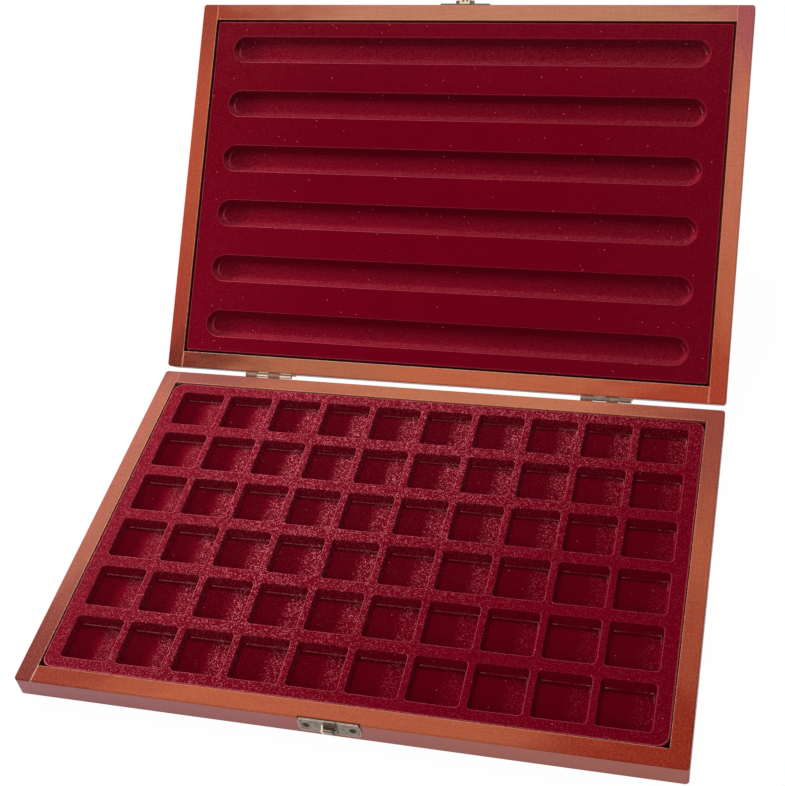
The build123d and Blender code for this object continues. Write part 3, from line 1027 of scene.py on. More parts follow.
@dataclass(frozen=True)
class PadFlock(CrimsonFlock):
    """The pad's flock: smooth on its face, with painted glints along the lower half of each slot, which faces
    the light.
    """

    # painted shade colour for the upper half of each slot
    hollow: Colour = srgb(74, 0, 14)
    half_height: float = 100 * MM
    left_fade: Span = (60 * MM, -120 * MM)
    left_shades: Span = (0.16, 0.30)
    corner_shades: Span = (0.07, 0.34)
    slot_fine: float = 0.12
    slot_bright: float = 0.10
    end_fade: Span = (60 * MM, 150 * MM)
    end_tips: Span = (0.003, 0.012)
    far_specks_fade: Span = (40 * MM, 112 * MM)
    far_specks: float = 0.035

    def height_on_pad(self, graph: ShaderGraph, along: Socket, bottom: float, top: float) -> Output:
        """Changes a share from the pad's lowest slot to its highest one."""
        return graph.ramp(along, -self.half_height, self.half_height, bottom, top)

    def land(self, graph: ShaderGraph, across: Socket, along: Socket) -> Any:
        """Paints shade on the face toward its left and its upper left corner, where the lamps light it more
        than the rest.

        Args:
            graph: The material's graph.
            across: The place along the hinge.
            along: The place from the hinge to the far edge.

        Returns:
            The face's colour.
        """
        # painted shade toward the left and the upper left corner
        left = graph.ramp(across, *self.left_fade, *self.left_shades)
        corner = graph.ramp(across, *self.left_fade, *self.corner_shades)
        upper = graph.product(self.height_on_pad(graph, along, 0.0, 1.0), corner)
        return graph.mix(graph.math("ADD", left, upper), self.ground, self.shade)

    def deep(self, graph: ShaderGraph, along: Socket) -> Any:
        """Paints shade on the upper half of each slot, which faces away from the light, most in the top
        slots.

        Args:
            graph: The material's graph.
            along: The place from the hinge to the far edge.

        Returns:
            The slots' colour.
        """
        facing = graph.split(graph.coordinates("Normal"))
        turned = graph.product(graph.ramp(facing[1], 0.15, -0.3), self.height_on_pad(graph, along, 0.5, 1.0))
        lower = graph.mix(self.height_on_pad(graph, along, 0.0, 0.2), self.well, self.shade)
        return graph.mix(turned, lower, self.hollow)

    def glint_shares(self, graph: ShaderGraph, across: Socket, along: Socket, height: Socket) -> Shares:
        """Paints glints on the tips where a slot faces the far edge and the light, and adds more specks along
        that edge.

        Args:
            graph: The material's graph.
            across: The place along the hinge.
            along: The place from the hinge to the far edge.
            height: The place above the rim.

        Returns:
            The share of the fine tips and of the bright ones that show.
        """
        facing = graph.split(graph.coordinates("Normal"))
        in_slot = graph.ramp(height, -self.well_top * 0.8, -self.well_top * 1.6)
        slot = graph.product(in_slot, graph.ramp(facing[1], -0.15, 0.35, 0.03, 1.0))
        ends = graph.ramp(graph.math("ABSOLUTE", across), *self.end_fade, *self.end_tips)
        far_specks = graph.ramp(along, *self.far_specks_fade, 0.0, self.far_specks)
        fine = graph.math("MULTIPLY_ADD", slot, self.slot_fine, graph.math("ADD", ends, far_specks))
        return fine, graph.math("MULTIPLY_ADD", slot, self.slot_bright, graph.product(ends, 3.0))


@dataclass(frozen=True)
class AgedBrass:
    """Antiqued brass plate: bronze-grey, darker in its tarnished patches, and pale along its edges, from worn
    finish and from a painted edge highlight.
    """

    body: Colour = srgb(140, 126, 116)
    tarnish_and_shade: Colour = srgb(92, 80, 72)
    wear_and_highlight: Colour = srgb(232, 208, 184)
    edge_radius: float = 0.5 * MM
    roughness: float = 0.36
    patches: float = 0.55
    speckle: float = 0.35
    scratches: float = 0.18
    edge_wear_and_glint: float = 0.9
    wear_waves: float = 900
    pit_depth: float = 0.04 * MM

    def material(self, name: str) -> bpy.types.Material:
        """Builds the material.

        Args:
            name: The material's name.

        Returns:
            The material.
        """
        material, graph, shader = new_material(name, {"Metallic": 0.9})
        place = graph.coordinates()
        age = Patina.place(graph, Vector=place)
        edge_group = EdgeWearAndLight.place(
            graph, Vector=place, Radius=self.edge_radius, Raggedness=0.35, Waves=self.wear_waves
        )
        edge_mask = edge_group["Mask"]
        colour = graph.mix(graph.product(age["Tarnish"], self.patches), self.body, self.tarnish_and_shade)
        colour = graph.mix(graph.product(age["Pits"], self.speckle), colour, self.tarnish_and_shade)
        colour = graph.mix(graph.product(age["Scratch"], self.scratches), colour, self.wear_and_highlight)
        # pale edges: worn finish and a painted edge highlight
        colour = graph.mix(graph.product(edge_mask, self.edge_wear_and_glint), colour, self.wear_and_highlight)
        graph.feed(shader.inputs["Base Color"], self.marked(graph, place, colour))
        rough = graph.math("MULTIPLY_ADD", age["Tarnish"], 0.16, self.roughness)
        graph.feed(shader.inputs["Roughness"], graph.math("SUBTRACT", rough, graph.product(edge_mask, 0.1)))
        graph.feed(shader.inputs["Normal"], graph.bump(age["Pits"], self.pit_depth, 0.4))
        return material

    def marked(self, graph: ShaderGraph, place: Socket, colour: Socket) -> Socket:
        """Adds the marks of use that a certain piece has; a plain plate has none."""
        return colour


@dataclass(frozen=True)
class KnuckleBrass(AgedBrass):
    """The brass of a hinge leaf whose knuckles carry a painted reflection underneath and painted shade on
    their top and right end.
    """

    pin: str = "hinge_left_pin"
    barrel: float = 1.75 * MM
    reflection_share: float = 0.95
    crown_shade: Colour = srgb(128, 94, 76)
    end_shade: Colour = srgb(60, 40, 24)
    under_band: Span = (0.85, 0.65)
    crown_band: Span = (0.85, 0.95)
    end_band: Span = (0.5, 0.9)

    def marked(self, graph: ShaderGraph, place: Socket, colour: Socket) -> Socket:
        """Paints shade on the top and the right end of the knuckles, and a bright painted reflection on their
        lower half.

        Args:
            graph: The material's graph.
            place: The leaf's coordinates, in metres.
            colour: The leaf's colour.

        Returns:
            The colour with the marks, which stay within the barrel.
        """
        low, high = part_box(self.pin)
        axis = (low + high) / 2
        beside = graph.vector("MULTIPLY", place, (0.0, 1.0, 1.0))
        from_axis = graph.vector("DISTANCE", beside, (0.0, axis.y, axis.z))
        end, _, up = graph.split(graph.coordinates("Normal"))
        # painted reflection on the lower half, painted shade on the top and the right end
        turned = graph.mix(graph.ramp(up, *self.under_band, 0.0, self.reflection_share), colour, self.wear_and_highlight)
        turned = graph.mix(graph.ramp(up, *self.crown_band, 0.0, self.reflection_share), turned, self.crown_shade)
        turned = graph.mix(graph.ramp(end, *self.end_band), turned, self.end_shade)
        return graph.mix(graph.math("LESS_THAN", from_axis, self.barrel), colour, turned)


@dataclass(frozen=True)
class FlapBrass(AgedBrass):
    """The brass of the hasp's flap, bright but darker round its two eyes, and with painted shade on its right
    edge.
    """

    rim: Matrix = field(default_factory=Matrix)
    dark_tone: Colour = srgb(84, 70, 44)
    eye_spacing: float = 2.4 * MM
    eye_darkening: Span = (0.95 * MM, 0.6 * MM)
    edge_shade: Span = (0.7 * MM, 0.4 * MM)
    neck: float = 1.0 * MM
    half_width: float = 3.5 * MM

    def marked(self, graph: ShaderGraph, place: Socket, colour: Socket) -> Socket:
        """Darkens the flap round the eyes, and paints shade along the right edge.

        Args:
            graph: The material's graph.
            place: The flap's coordinates, in metres; not used here.
            colour: The flap's colour.

        Returns:
            The colour with these dark marks.
        """
        low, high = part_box("hasp_pin")
        axis = self.rim.inverted() @ ((low + high) / 2)
        parts = graph.split(rim_coordinates(graph, self.rim))
        across = graph.math("SUBTRACT", parts[0], axis.x)
        out = graph.math("SUBTRACT", parts[1], axis.y + self.neck)
        beside = graph.math("SUBTRACT", graph.math("ABSOLUTE", across), self.eye_spacing / 2)
        squares = graph.math("ADD", graph.math("POWER", beside, 2.0), graph.math("POWER", out, 2.0))
        colour = graph.mix(graph.ramp(graph.math("SQRT", squares), *self.eye_darkening), colour, self.dark_tone)
        # painted shade along the right edge
        edge = graph.ramp(across, *(self.half_width - inset for inset in self.edge_shade))
        return graph.mix(graph.product(edge, 0.9), colour, self.dark_tone)


@dataclass(frozen=True)
class HookBrass(AgedBrass):
    """The brass of the strike plate, whose hook has painted highlights on its bend and left side, and painted
    shade on its top, its hollow, its right side and its underside.

    The bands lie below the hook's top, and the side bands are shares of half its width.
    """

    # painted shade colour of the hook's hollow, its right side and the shadow beside it
    recess: Colour = srgb(62, 49, 38)
    underside_shade: Colour = srgb(112, 94, 68)
    nose: Colour = srgb(178, 156, 124)
    hook_width: float = 6.6 * MM
    hook_drop: float = 1.5 * MM
    plate: float = 1.25 * MM
    nose_band: Span = (4.5 * MM, 3.0 * MM)
    bend_band: Span = (2.5 * MM, 2.1 * MM)
    hollow_band: Span = (1.9 * MM, 1.5 * MM)
    right_band: Span = (0.5, 0.85)
    left_band: Span = (-0.62, -0.85)
    top_band: Span = (0.85, 0.95)
    shadow_starts: Span = (1.0, 1.1)
    shadow_ends: Span = (1.55, 1.2)
    shadow: float = 0.6

    def marked(self, graph: ShaderGraph, place: Socket, colour: Socket) -> Socket:
        """Paints shade in the hook's hollow, on its top and on its right side, a highlight on its bend and
        its left edge, and a shadow beside it.

        Args:
            graph: The material's graph.
            place: The plate's coordinates, in metres.
            colour: The plate's colour.

        Returns:
            The colour with the marks.
        """
        low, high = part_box("strike_plate")
        across, along, height = graph.split(place)
        side = graph.math("DIVIDE", graph.math("SUBTRACT", across, (low.x + high.x) / 2), self.hook_width / 2)
        down = graph.math("SUBTRACT", high.z - self.hook_drop, height)
        up = graph.split(graph.coordinates("Normal"))[2]
        # painted light on the hook: a darker underside, highlights on the bend and left edge, shade in the
        # hollow, on the right side and on the top
        hook = graph.mix(graph.ramp(down, *self.nose_band), self.underside_shade, self.nose)
        hook = graph.mix(graph.ramp(down, *self.bend_band), hook, self.wear_and_highlight)
        hook = graph.mix(graph.ramp(down, *self.hollow_band), hook, self.recess)
        hook = graph.mix(graph.ramp(side, *self.right_band), hook, self.recess)
        hook = graph.mix(graph.ramp(up, *self.top_band), hook, self.tarnish_and_shade)
        hook = graph.mix(graph.ramp(side, *self.left_band), hook, self.wear_and_highlight)
        proud = graph.math("LESS_THAN", along, high.y - self.plate)
        start, stop = graph.ramp(side, *self.shadow_starts), graph.ramp(side, *self.shadow_ends)
        beside = graph.product(start, stop, self.shadow)
        return graph.mix(beside, graph.mix(proud, colour, hook), self.recess)


# ---------------------------------------------------------------- mesh helpers
def eased_profile(points: Sequence[Point], radii: Sequence[float], steps: int) -> list[Point]:
    """Rounds the corners of an open profile.

    Args:
        points: The profile's corners.
        radii: The radius at each corner, which is zero at both ends.
        steps: The number of chords in each rounding.

    Returns:
        The points of the eased profile.
    """
    eased: list[Point] = []
    for index, (point, radius) in enumerate(zip(points, radii)):
        if radius == 0:
            eased.append(point)
            continue
        corner = Vector(point)
        back = (Vector(points[index - 1]) - corner).normalized()
        ahead = (Vector(points[index + 1]) - corner).normalized()
        half_angle = back.angle(ahead) / 2
        tangent = radius / math.tan(half_angle)
        centre = corner + (back + ahead).normalized() * radius / math.sin(half_angle)
        start = corner + back * tangent - centre
        end = corner + ahead * tangent - centre
        turn = start.angle(end)
        for step in range(steps + 1):
            share = step / steps
            weights = math.sin((1 - share) * turn) / math.sin(turn), math.sin(share * turn) / math.sin(turn)
            spot = centre + start * weights[0] + end * weights[1]
            eased.append((spot.x, spot.y))
    return eased


def rounded_ring(
    half_x: float, half_y: float, radius: float, corner_steps: int, side_steps: tuple[int, int]
) -> list[Point]:
    """Walks anticlockwise round a rectangle with rounded corners, from its right side.

    Args:
        half_x: Half the length.
        half_y: Half the width.
        radius: The corners' radius.
        corner_steps: The number of chords in a corner.
        side_steps: The number of spans in a side along X and along Y.

    Returns:
        The ring's points.
    """
    ring: list[Point] = []
    signs = ((1, 1), (-1, 1), (-1, -1), (1, -1))
    for quarter, (sign_x, sign_y) in enumerate(signs):
        centre = Vector((sign_x * (half_x - radius), sign_y * (half_y - radius)))
        for step in range(corner_steps + 1):
            angle = math.pi / 2 * (quarter + step / corner_steps)
            ring.append((centre.x + radius * math.cos(angle), centre.y + radius * math.sin(angle)))
        next_x, next_y = signs[(quarter + 1) % 4]
        run = Vector((next_x * (half_x - radius), next_y * (half_y - radius))) - centre
        start_x, start_y = ring[-1]
        spans = side_steps[quarter % 2]
        for span in range(1, spans):
            ring.append((start_x + run.x * span / spans, start_y + run.y * span / spans))
    return ring


def add_ring(mesh: bmesh.types.BMesh, ring: Iterable[Point], height: float) -> Vertices:
    """Adds a ring's vertices at one height.

    Args:
        mesh: The mesh.
        ring: The ring's points.
        height: Their Z.

    Returns:
        The vertices.
    """
    return [mesh.verts.new((x, y, height)) for x, y in ring]


def join_rings(mesh: bmesh.types.BMesh, first: Vertices, second: Vertices) -> None:
    """Joins two rings of as many vertices with a band of quads.

    Args:
        mesh: The mesh.
        first: One ring.
        second: The other.
    """
    count = len(first)
    for index in range(count):
        after = (index + 1) % count
        mesh.faces.new((first[index], first[after], second[after], second[index]))


def zip_rings(mesh: bmesh.types.BMesh, first: Vertices, second: Vertices) -> None:
    """Joins two rings round the same centre, with different counts, by a band of triangles.

    Args:
        mesh: The mesh.
        first: The inner ring.
        second: The outer ring.
    """

    def bearing(vertex: bmesh.types.BMVert) -> float:
        """The vertex's direction from the centre."""
        return math.atan2(vertex.co.y, vertex.co.x)

    inner = sorted(first, key=bearing)
    outer = sorted(second, key=bearing)
    full = 2 * math.pi
    at_inner = at_outer = 0
    while at_inner < len(inner) or at_outer < len(outer):
        here_inner = inner[at_inner % len(inner)]
        here_outer = outer[at_outer % len(outer)]
        next_inner = inner[(at_inner + 1) % len(inner)]
        next_outer = outer[(at_outer + 1) % len(outer)]
        inner_turn = bearing(next_inner) + full * ((at_inner + 1) // len(inner))
        outer_turn = bearing(next_outer) + full * ((at_outer + 1) // len(outer))
        if at_outer >= len(outer) or (at_inner < len(inner) and inner_turn <= outer_turn):
            mesh.faces.new((here_inner, here_outer, next_inner))
            at_inner += 1
        else:
            mesh.faces.new((here_inner, here_outer, next_outer))
            at_outer += 1


# ---------------------------------------------------------------- formed sheets
@dataclass
class FormedSheet:
    """A flocked sheet formed over a grid of pockets, lying in its rim frame with its face up."""

    name: str
    nodes: tuple[str, ...]
    body: Body
    slot: Slot
    rim: Matrix
    length: float
    depth: float
    corner_round: float
    columns: int
    rows: int
    pocket_length: float
    pocket_width: float
    pitch_x: float
    pitch_y: float
    pocket_round: float
    pocket_depth: float
    draft: float
    lip_round: float
    foot_round: float
    edge_round: float
    side_height: float
    recess: float = 0.5 * MM
    land: float = 2.0 * MM
    corner_steps: int = 8
    side_steps: tuple[int, int] = (10, 4)
    wall_steps: int = 5
    edge_steps: int = 6
    unevenness: float = 0.05 * MM
    rim_corner_steps: int = 12
    rim_side_steps: tuple[int, int] = (60, 40)
    wander_waves: float = 180
    crease_share: float = 0.65
    end_share: float = 1.0
    end_reach: float = 2.4 * MM
    left_back_reach: float = 0.13 * MM
    right_back_reach: float = 0.8 * MM
    lip_light: tuple[float, float, float, float] = (0.95, 0.16, 0.16, 1.0)
    rim_light: float = 0.8
    lip_ring: ClassVar[int] = 2
    rim_rings: ClassVar[tuple[int, ...]] = (2, 3, 4)

    def cell_limits(self, index: int, count: int, pitch: float, half_mouth: float) -> Span:
        """Finds where one pocket's cell begins and ends, measured from the pocket's middle.

        Args:
            index: The pocket's place in its row or column.
            count: How many pockets there are.
            pitch: The distance between two of them.
            half_mouth: Half the pocket's mouth.

        Returns:
            The cell's low and high limit.
        """
        outer = half_mouth + self.land
        low = outer if index == 0 else pitch / 2
        high = outer if index == count - 1 else pitch / 2
        return -low, high

    def cell_ring(self, mouth: Sequence[Point], limits_x: Span, limits_y: Span) -> list[Point]:
        """Spreads the mouth's ring out to the cell's rectangle, so that neighbours share their points.

        Args:
            mouth: The mouth's ring.
            limits_x: The cell's low and high X.
            limits_y: The cell's low and high Y.

        Returns:
            The ring on the cell's rectangle.
        """
        per_corner = self.corner_steps + 1
        spread: list[Point] = []
        position = 0
        for quarter in range(4):
            edge_x = limits_x[1] if quarter in (0, 3) else limits_x[0]
            edge_y = limits_y[1] if quarter in (0, 1) else limits_y[0]
            starts_on_x = quarter % 2 == 0
            first = mouth[position]
            last = mouth[position + self.corner_steps]
            start = (edge_x, first[1]) if starts_on_x else (first[0], edge_y)
            end = (last[0], edge_y) if starts_on_x else (edge_x, last[1])
            for step in range(per_corner):
                share = 2 * step / self.corner_steps
                (x, y), share = (start, share) if share <= 1 else (end, 2 - share)
                spread.append((x + (edge_x - x) * share, y + (edge_y - y) * share))
            position += per_corner
            after = position + self.side_steps[quarter % 2] - 1
            for x, y in mouth[position:after]:
                spread.append((x, edge_y) if starts_on_x else (edge_x, y))
            position = after
        return spread

    def pocket_profile(self) -> list[Point]:
        """Draws the way from a pocket's lip over its wall to its floor.

        Returns:
            The inset and the height of each of the pocket's rings.
        """
        foot = (self.draft, -self.pocket_depth)
        floor = (self.draft + self.foot_round * 1.4, -self.pocket_depth)
        corners = [(-self.lip_round * 1.2, 0), (0, 0), foot, floor]
        return eased_profile(corners, [0, self.lip_round, self.foot_round, 0], self.wall_steps)

    def add_pocket(self, mesh: bmesh.types.BMesh, column: int, row: int) -> None:
        """Adds one pocket and the land of its cell.

        Args:
            mesh: The mesh.
            column: The pocket's column.
            row: The pocket's row.
        """
        half_x = self.pocket_length / 2
        half_y = self.pocket_width / 2
        middle_x = (column - (self.columns - 1) / 2) * self.pitch_x
        middle_y = (row - (self.rows - 1) / 2) * self.pitch_y

        def ring_at(inset: float) -> list[Point]:
            """The pocket's outline, moved in by the inset."""
            radius = max(self.pocket_round - inset, LEAST_ROUND)
            return rounded_ring(half_x - inset, half_y - inset, radius, self.corner_steps, self.side_steps)

        def placed(ring: Iterable[Point]) -> list[Point]:
            """The ring at the pocket's place."""
            return [(x + middle_x, y + middle_y) for x, y in ring]

        limits_x = self.cell_limits(column, self.columns, self.pitch_x, half_x)
        limits_y = self.cell_limits(row, self.rows, self.pitch_y, half_y)
        face = -self.recess
        last = add_ring(mesh, placed(self.cell_ring(ring_at(0), limits_x, limits_y)), face)
        profile = self.pocket_profile()
        crease_weights = {len(profile) - 4: 1.0, len(profile) - 3: 0.4}
        for number, (inset, height) in enumerate(profile):
            ring = ring_at(inset)
            vertices = add_ring(mesh, placed(ring), face + height)
            join_rings(mesh, last, vertices)
            half_size = (half_x - inset, half_y - inset)
            if number in crease_weights:
                self.mark_crease(mesh, ring, vertices, half_size, crease_weights[number], middle_x)
            if number == self.lip_ring:
                self.mark_lip(mesh, ring, vertices, half_size)
            last = vertices
        mesh.faces.new(last)

    def mark_lip(
        self,
        mesh: bmesh.types.BMesh,
        ring: Sequence[Point],
        vertices: Vertices,
        half_size: Span,
    ) -> None:
        """Marks the painted highlight along a pocket's lip, where the light catches it, most on its right and
        front sides.

        Args:
            mesh: The mesh.
            ring: The lip's points from the pocket's middle.
            vertices: The lip's vertices.
            half_size: Half the lip's length and width.
        """
        wear_and_highlight = mesh.verts.layers.float[LIP]
        right, left, back, front = self.lip_light
        radius = self.pocket_round
        for (x, y), vertex in zip(ring, vertices):
            over_x = max(abs(x) - (half_size[0] - radius), 0) / radius
            over_y = max(abs(y) - (half_size[1] - radius), 0) / radius
            share = over_x**2 / max(over_x**2 + over_y**2, 1e-9)
            on_side = right if x > 0 else left
            on_end = back if y > 0 else front
            vertex[wear_and_highlight] = on_side * share + on_end * (1 - share)

    def mark_crease(
        self,
        mesh: bmesh.types.BMesh,
        ring: Sequence[Point],
        vertices: Vertices,
        half_size: Span,
        weight: float,
        pocket_x: float,
    ) -> None:
        """Marks where the sheet shows through along the foot of a pocket's walls, painted brighter as a
        shine.

        Args:
            mesh: The mesh.
            ring: The foot's points from the pocket's middle.
            vertices: The foot's vertices.
            half_size: Half the foot's length and width.
            weight: How strongly this ring is marked.
            pocket_x: Where the pocket lies along the hinge.
        """
        bare = mesh.verts.layers.float[BARE]
        half_x, half_y = half_size
        for (x, y), vertex in zip(ring, vertices):
            vertex[bare] = weight * self.bareness(x / half_x, half_x - abs(x), half_y - y, pocket_x)

    def bareness(self, side: float, to_side: float, to_back: float, pocket_x: float) -> float:
        """How far the sheet shows along a pocket's foot, with its painted shine: at the back, most at its two
        ends.

        Args:
            side: Where the place lies, from -1 at the left to 1 at the right.
            to_side: The distance to the nearer side.
            to_back: The distance to the back.
            pocket_x: Where the pocket lies along the hinge.

        Returns:
            A share from 0 to 1.
        """
        if to_back > (self.left_back_reach if side < 0 else self.right_back_reach):
            return 0.0
        toward_left = 0.5 - pocket_x / self.length
        along_back = self.crease_share * toward_left
        at_end = self.end_share * math.exp(-to_side / self.end_reach)
        return max(along_back, at_end)

    def build(self) -> bpy.types.Object:
        """Builds the sheet as one closed mesh, and puts it in place of its CAD nodes.

        Returns:
            The new object.
        """
        mesh = bmesh.new()
        mesh.verts.layers.float.new(BARE)
        mesh.verts.layers.float.new(LIP)
        for row in range(self.rows):
            for column in range(self.columns):
                self.add_pocket(mesh, column, row)
        bmesh.ops.remove_doubles(mesh, verts=mesh.verts[:], dist=MERGE_DISTANCE)
        border = [vertex for vertex in mesh.verts if vertex.is_boundary]

        half_x, half_y = self.length / 2, self.depth / 2
        sides = [(self.edge_round * 1.2, 0), (0, 0), (0, -self.side_height)]
        last: Vertices = ()
        wear_and_highlight = mesh.verts.layers.float[LIP]
        profile = eased_profile(sides, [0, self.edge_round, 0], self.edge_steps)
        for number, (inset, height) in enumerate(profile):
            radius = max(self.corner_round - inset, LEAST_ROUND)
            steps = self.rim_corner_steps, self.rim_side_steps
            ring = rounded_ring(half_x - inset, half_y - inset, radius, *steps)
            vertices = add_ring(mesh, ring, height - self.recess)
            # the sheet's outer rounded edge gets the lips' painted highlight too
            if number in self.rim_rings:
                for vertex in vertices:
                    vertex[wear_and_highlight] = self.rim_light
            if last:
                join_rings(mesh, last, vertices)
            else:
                zip_rings(mesh, border, vertices)
            last = vertices
        mesh.faces.new(last)
        bmesh.ops.recalc_face_normals(mesh, faces=mesh.faces[:])
        self.wander(mesh)

        data = bpy.data.meshes.new(self.name)
        mesh.to_mesh(data)
        mesh.free()
        data.shade_smooth()
        sheet = bpy.data.objects.new(self.name, data)
        bpy.context.scene.collection.objects.link(sheet)
        sheet.matrix_world = self.rim
        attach(sheet, self.body.value)
        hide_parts(*self.nodes)
        return sheet

    def wander(self, mesh: bmesh.types.BMesh) -> None:
        """Gives the sheet the slight unevenness of hot-formed plastic.

        Args:
            mesh: The mesh, whose side and seat stay as they are.
        """
        mesh.normal_update()
        lowest = -self.recess - self.pocket_depth - 0.5 * MM
        for vertex in mesh.verts:
            if vertex.co.z >= lowest:
                drift = noise.noise(vertex.co * self.wander_waves)
                vertex.co += vertex.normal * drift * self.unevenness


@dataclass
class CoinTray(FormedSheet):
    """The base's tray: ten columns and six rows of square pockets."""

    @classmethod
    def fitted(cls, rim: Matrix) -> "CoinTray":
        """Sizes the tray to the CAD tray.

        Args:
            rim: The base's rim frame.

        Returns:
            The tray.
        """
        low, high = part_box("tray_floor")
        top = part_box("tray_long_ribs")[1].z
        return cls(
            name="coin_tray",
            nodes=("tray_floor", "tray_long_ribs", "tray_cross_ribs"),
            body=Body.BASE,
            slot=Slot.TRAY_FLOCK,
            rim=rim,
            length=high.x - low.x,
            depth=high.y - low.y,
            corner_round=7.0 * MM,
            columns=10,
            rows=6,
            pocket_length=27.5 * MM,
            pocket_width=27.5 * MM,
            pitch_x=31.6 * MM,
            pitch_y=35.0 * MM,
            pocket_round=2.1 * MM,
            pocket_depth=top - high.z,
            draft=1.0 * MM,
            lip_round=0.55 * MM,
            foot_round=1.0 * MM,
            edge_round=0.9 * MM,
            side_height=top - low.z,
        )


@dataclass
class SlottedPad(FormedSheet):
    """The lid's pad: six long slots with round ends, one over each row of coins."""

    end_share: float = 0.85
    end_reach: float = 5.5 * MM

    @classmethod
    def fitted(cls, rim: Matrix) -> "SlottedPad":
        """Sizes the pad by the measures given here, in place of the CAD pad.

        Args:
            rim: The lid's rim frame.

        Returns:
            The pad.
        """
        return cls(
            name="slotted_pad",
            nodes=("pad_backing", "pad_bars", "pad_ends"),
            body=Body.LID,
            slot=Slot.PAD_FLOCK,
            rim=rim,
            length=327.4 * MM,
            depth=215.4 * MM,
            corner_round=1.5 * MM,
            columns=1,
            rows=6,
            pocket_length=302.4 * MM,
            pocket_width=16.7 * MM,
            pitch_x=320.0 * MM,
            pitch_y=35.78 * MM,
            pocket_round=8.35 * MM,
            pocket_depth=4.5 * MM,
            draft=1.6 * MM,
            lip_round=0.6 * MM,
            foot_round=3.4 * MM,
            edge_round=0.9 * MM,
            side_height=6.0 * MM,
            corner_steps=16,
            side_steps=(60, 1),
            lip_light=(0.4, 0.45, 0.34, 0.95),
            rim_light=0.25,
        )

    def bareness(self, side: float, to_side: float, to_back: float, pocket_x: float) -> float:
        """Shows the sheet in a thin arc at the left end of a slot, and as a painted highlight at the right
        end's upper half.

        Args:
            side: Where the place lies, from -1 at the left to 1 at the right.
            to_side: The distance to the nearer side.
            to_back: The distance to the back.
            pocket_x: Where the slot lies along the hinge; not used here.

        Returns:
            A share from 0 to 1.
        """
        at_end = self.end_share * max(1 - to_side / self.end_reach, 0)
        lower_right = side > 0 and to_back > self.pocket_width / 3
        return 0.4 * at_end if lower_right else at_end


# ---------------------------------------------------------------- CAD pieces
def dress(node: str, material: bpy.types.Material) -> None:
    """Gives a CAD node its material.

    Args:
        node: The node's name.
        material: The material.
    """
    piece = frame["nodes"][node]
    piece.data.materials.clear()
    piece.data.materials.append(material)


@dataclass
class WoodenFrame:
    """The four rails and the panel of one half of the case, each in its own finish."""

    prefix: str
    rails: dict[str, StainedBeech]
    panel: StainedBeech

    def finish(self) -> int:
        """Dresses the rails and the panel.

        Returns:
            The number of pieces dressed.
        """
        pieces = {f"rail_{side}": wood for side, wood in self.rails.items()}
        pieces["panel"] = self.panel
        for part, wood in pieces.items():
            name = f"{self.prefix}_{part}"
            dress(name, wood.material(f"{name}_wood"))
        return len(pieces)


@dataclass
class Hardware:
    """The hinges, the latch and their screws, with the pieces that share each finish."""

    lid_rim: Matrix
    screws: tuple[str, ...] = ("hinge_base_screws", "hinge_lid_screws", "strike_screws", "hasp_screws")
    pins: tuple[str, ...] = ("hinge_left_pin", "hinge_right_pin", "hasp_pin")

    def finishes(self) -> dict[str, tuple[AgedBrass, tuple[str, ...]]]:
        """Lists the finishes.

        Returns:
            Each finish and its pieces, by the material's name.
        """
        dull = AgedBrass(srgb(150, 126, 116), srgb(96, 72, 62), srgb(205, 180, 168), speckle=0.7)
        knuckle = KnuckleBrass(srgb(172, 142, 124), srgb(128, 96, 80), srgb(255, 236, 214))
        tan = AgedBrass(srgb(170, 136, 118), srgb(134, 98, 82), srgb(205, 176, 158))
        bright = FlapBrass(srgb(236, 226, 200), srgb(204, 190, 160), srgb(248, 242, 224), rim=self.lid_rim)
        hook = HookBrass(wear_and_highlight=srgb(244, 226, 204), edge_radius=0.8 * MM)
        plate = AgedBrass(srgb(122, 110, 100), srgb(78, 64, 54), srgb(112, 92, 78))
        screw = AgedBrass(srgb(66, 57, 49), srgb(26, 21, 18), srgb(150, 136, 122), edge_radius=0.12 * MM)
        wire = AgedBrass(srgb(74, 58, 46), srgb(44, 32, 24), srgb(120, 104, 90), edge_radius=0.1 * MM)
        return {
            "hinge_brass_dull": (dull, ("hinge_right_base_leaf", "hinge_right_lid_leaf")),
            "hinge_brass_lit_and_shaded": (knuckle, ("hinge_left_lid_leaf",)),
            "hinge_brass_tan": (tan, ("hinge_left_base_leaf",)),
            "hook_brass": (hook, ("strike_plate",)),
            "hasp_plate_brass": (plate, ("hasp_plate",)),
            "flap_brass": (bright, ("hasp_flap",)),
            "aged_screw": (screw, self.screws),
            "pin_wire": (wire, self.pins),
        }

    def finish(self) -> int:
        """Dresses the plates, the screws and the pins.

        Returns:
            The number of pieces dressed.
        """
        dressed = 0
        for name, (brass, nodes) in self.finishes().items():
            material = brass.material(name)
            for node in nodes:
                dress(node, material)
                dressed += 1
        return dressed


# ---------------------------------------------------------------- studio
@dataclass
class SoftLamp:
    """One soft box of the studio, which leaves no glare of its own in the metal."""

    name: str
    place: tuple[float, float, float]
    aim: tuple[float, float, float]
    size: tuple[float, float]
    watts: float

    def build(self) -> bpy.types.Object:
        """Hangs the lamp.

        Returns:
            The lamp's object.
        """
        light = bpy.data.lights.new(self.name, "AREA")
        light.shape = "RECTANGLE"
        light.size, light.size_y = self.size
        light.energy = self.watts
        lamp = bpy.data.objects.new(self.name, light)
        bpy.context.scene.collection.objects.link(lamp)
        lamp.location = self.place
        direction = Vector(self.aim) - Vector(self.place)
        lamp.rotation_euler = direction.to_track_quat("-Z", "Y").to_euler()
        lamp.visible_glossy = False
        return lamp


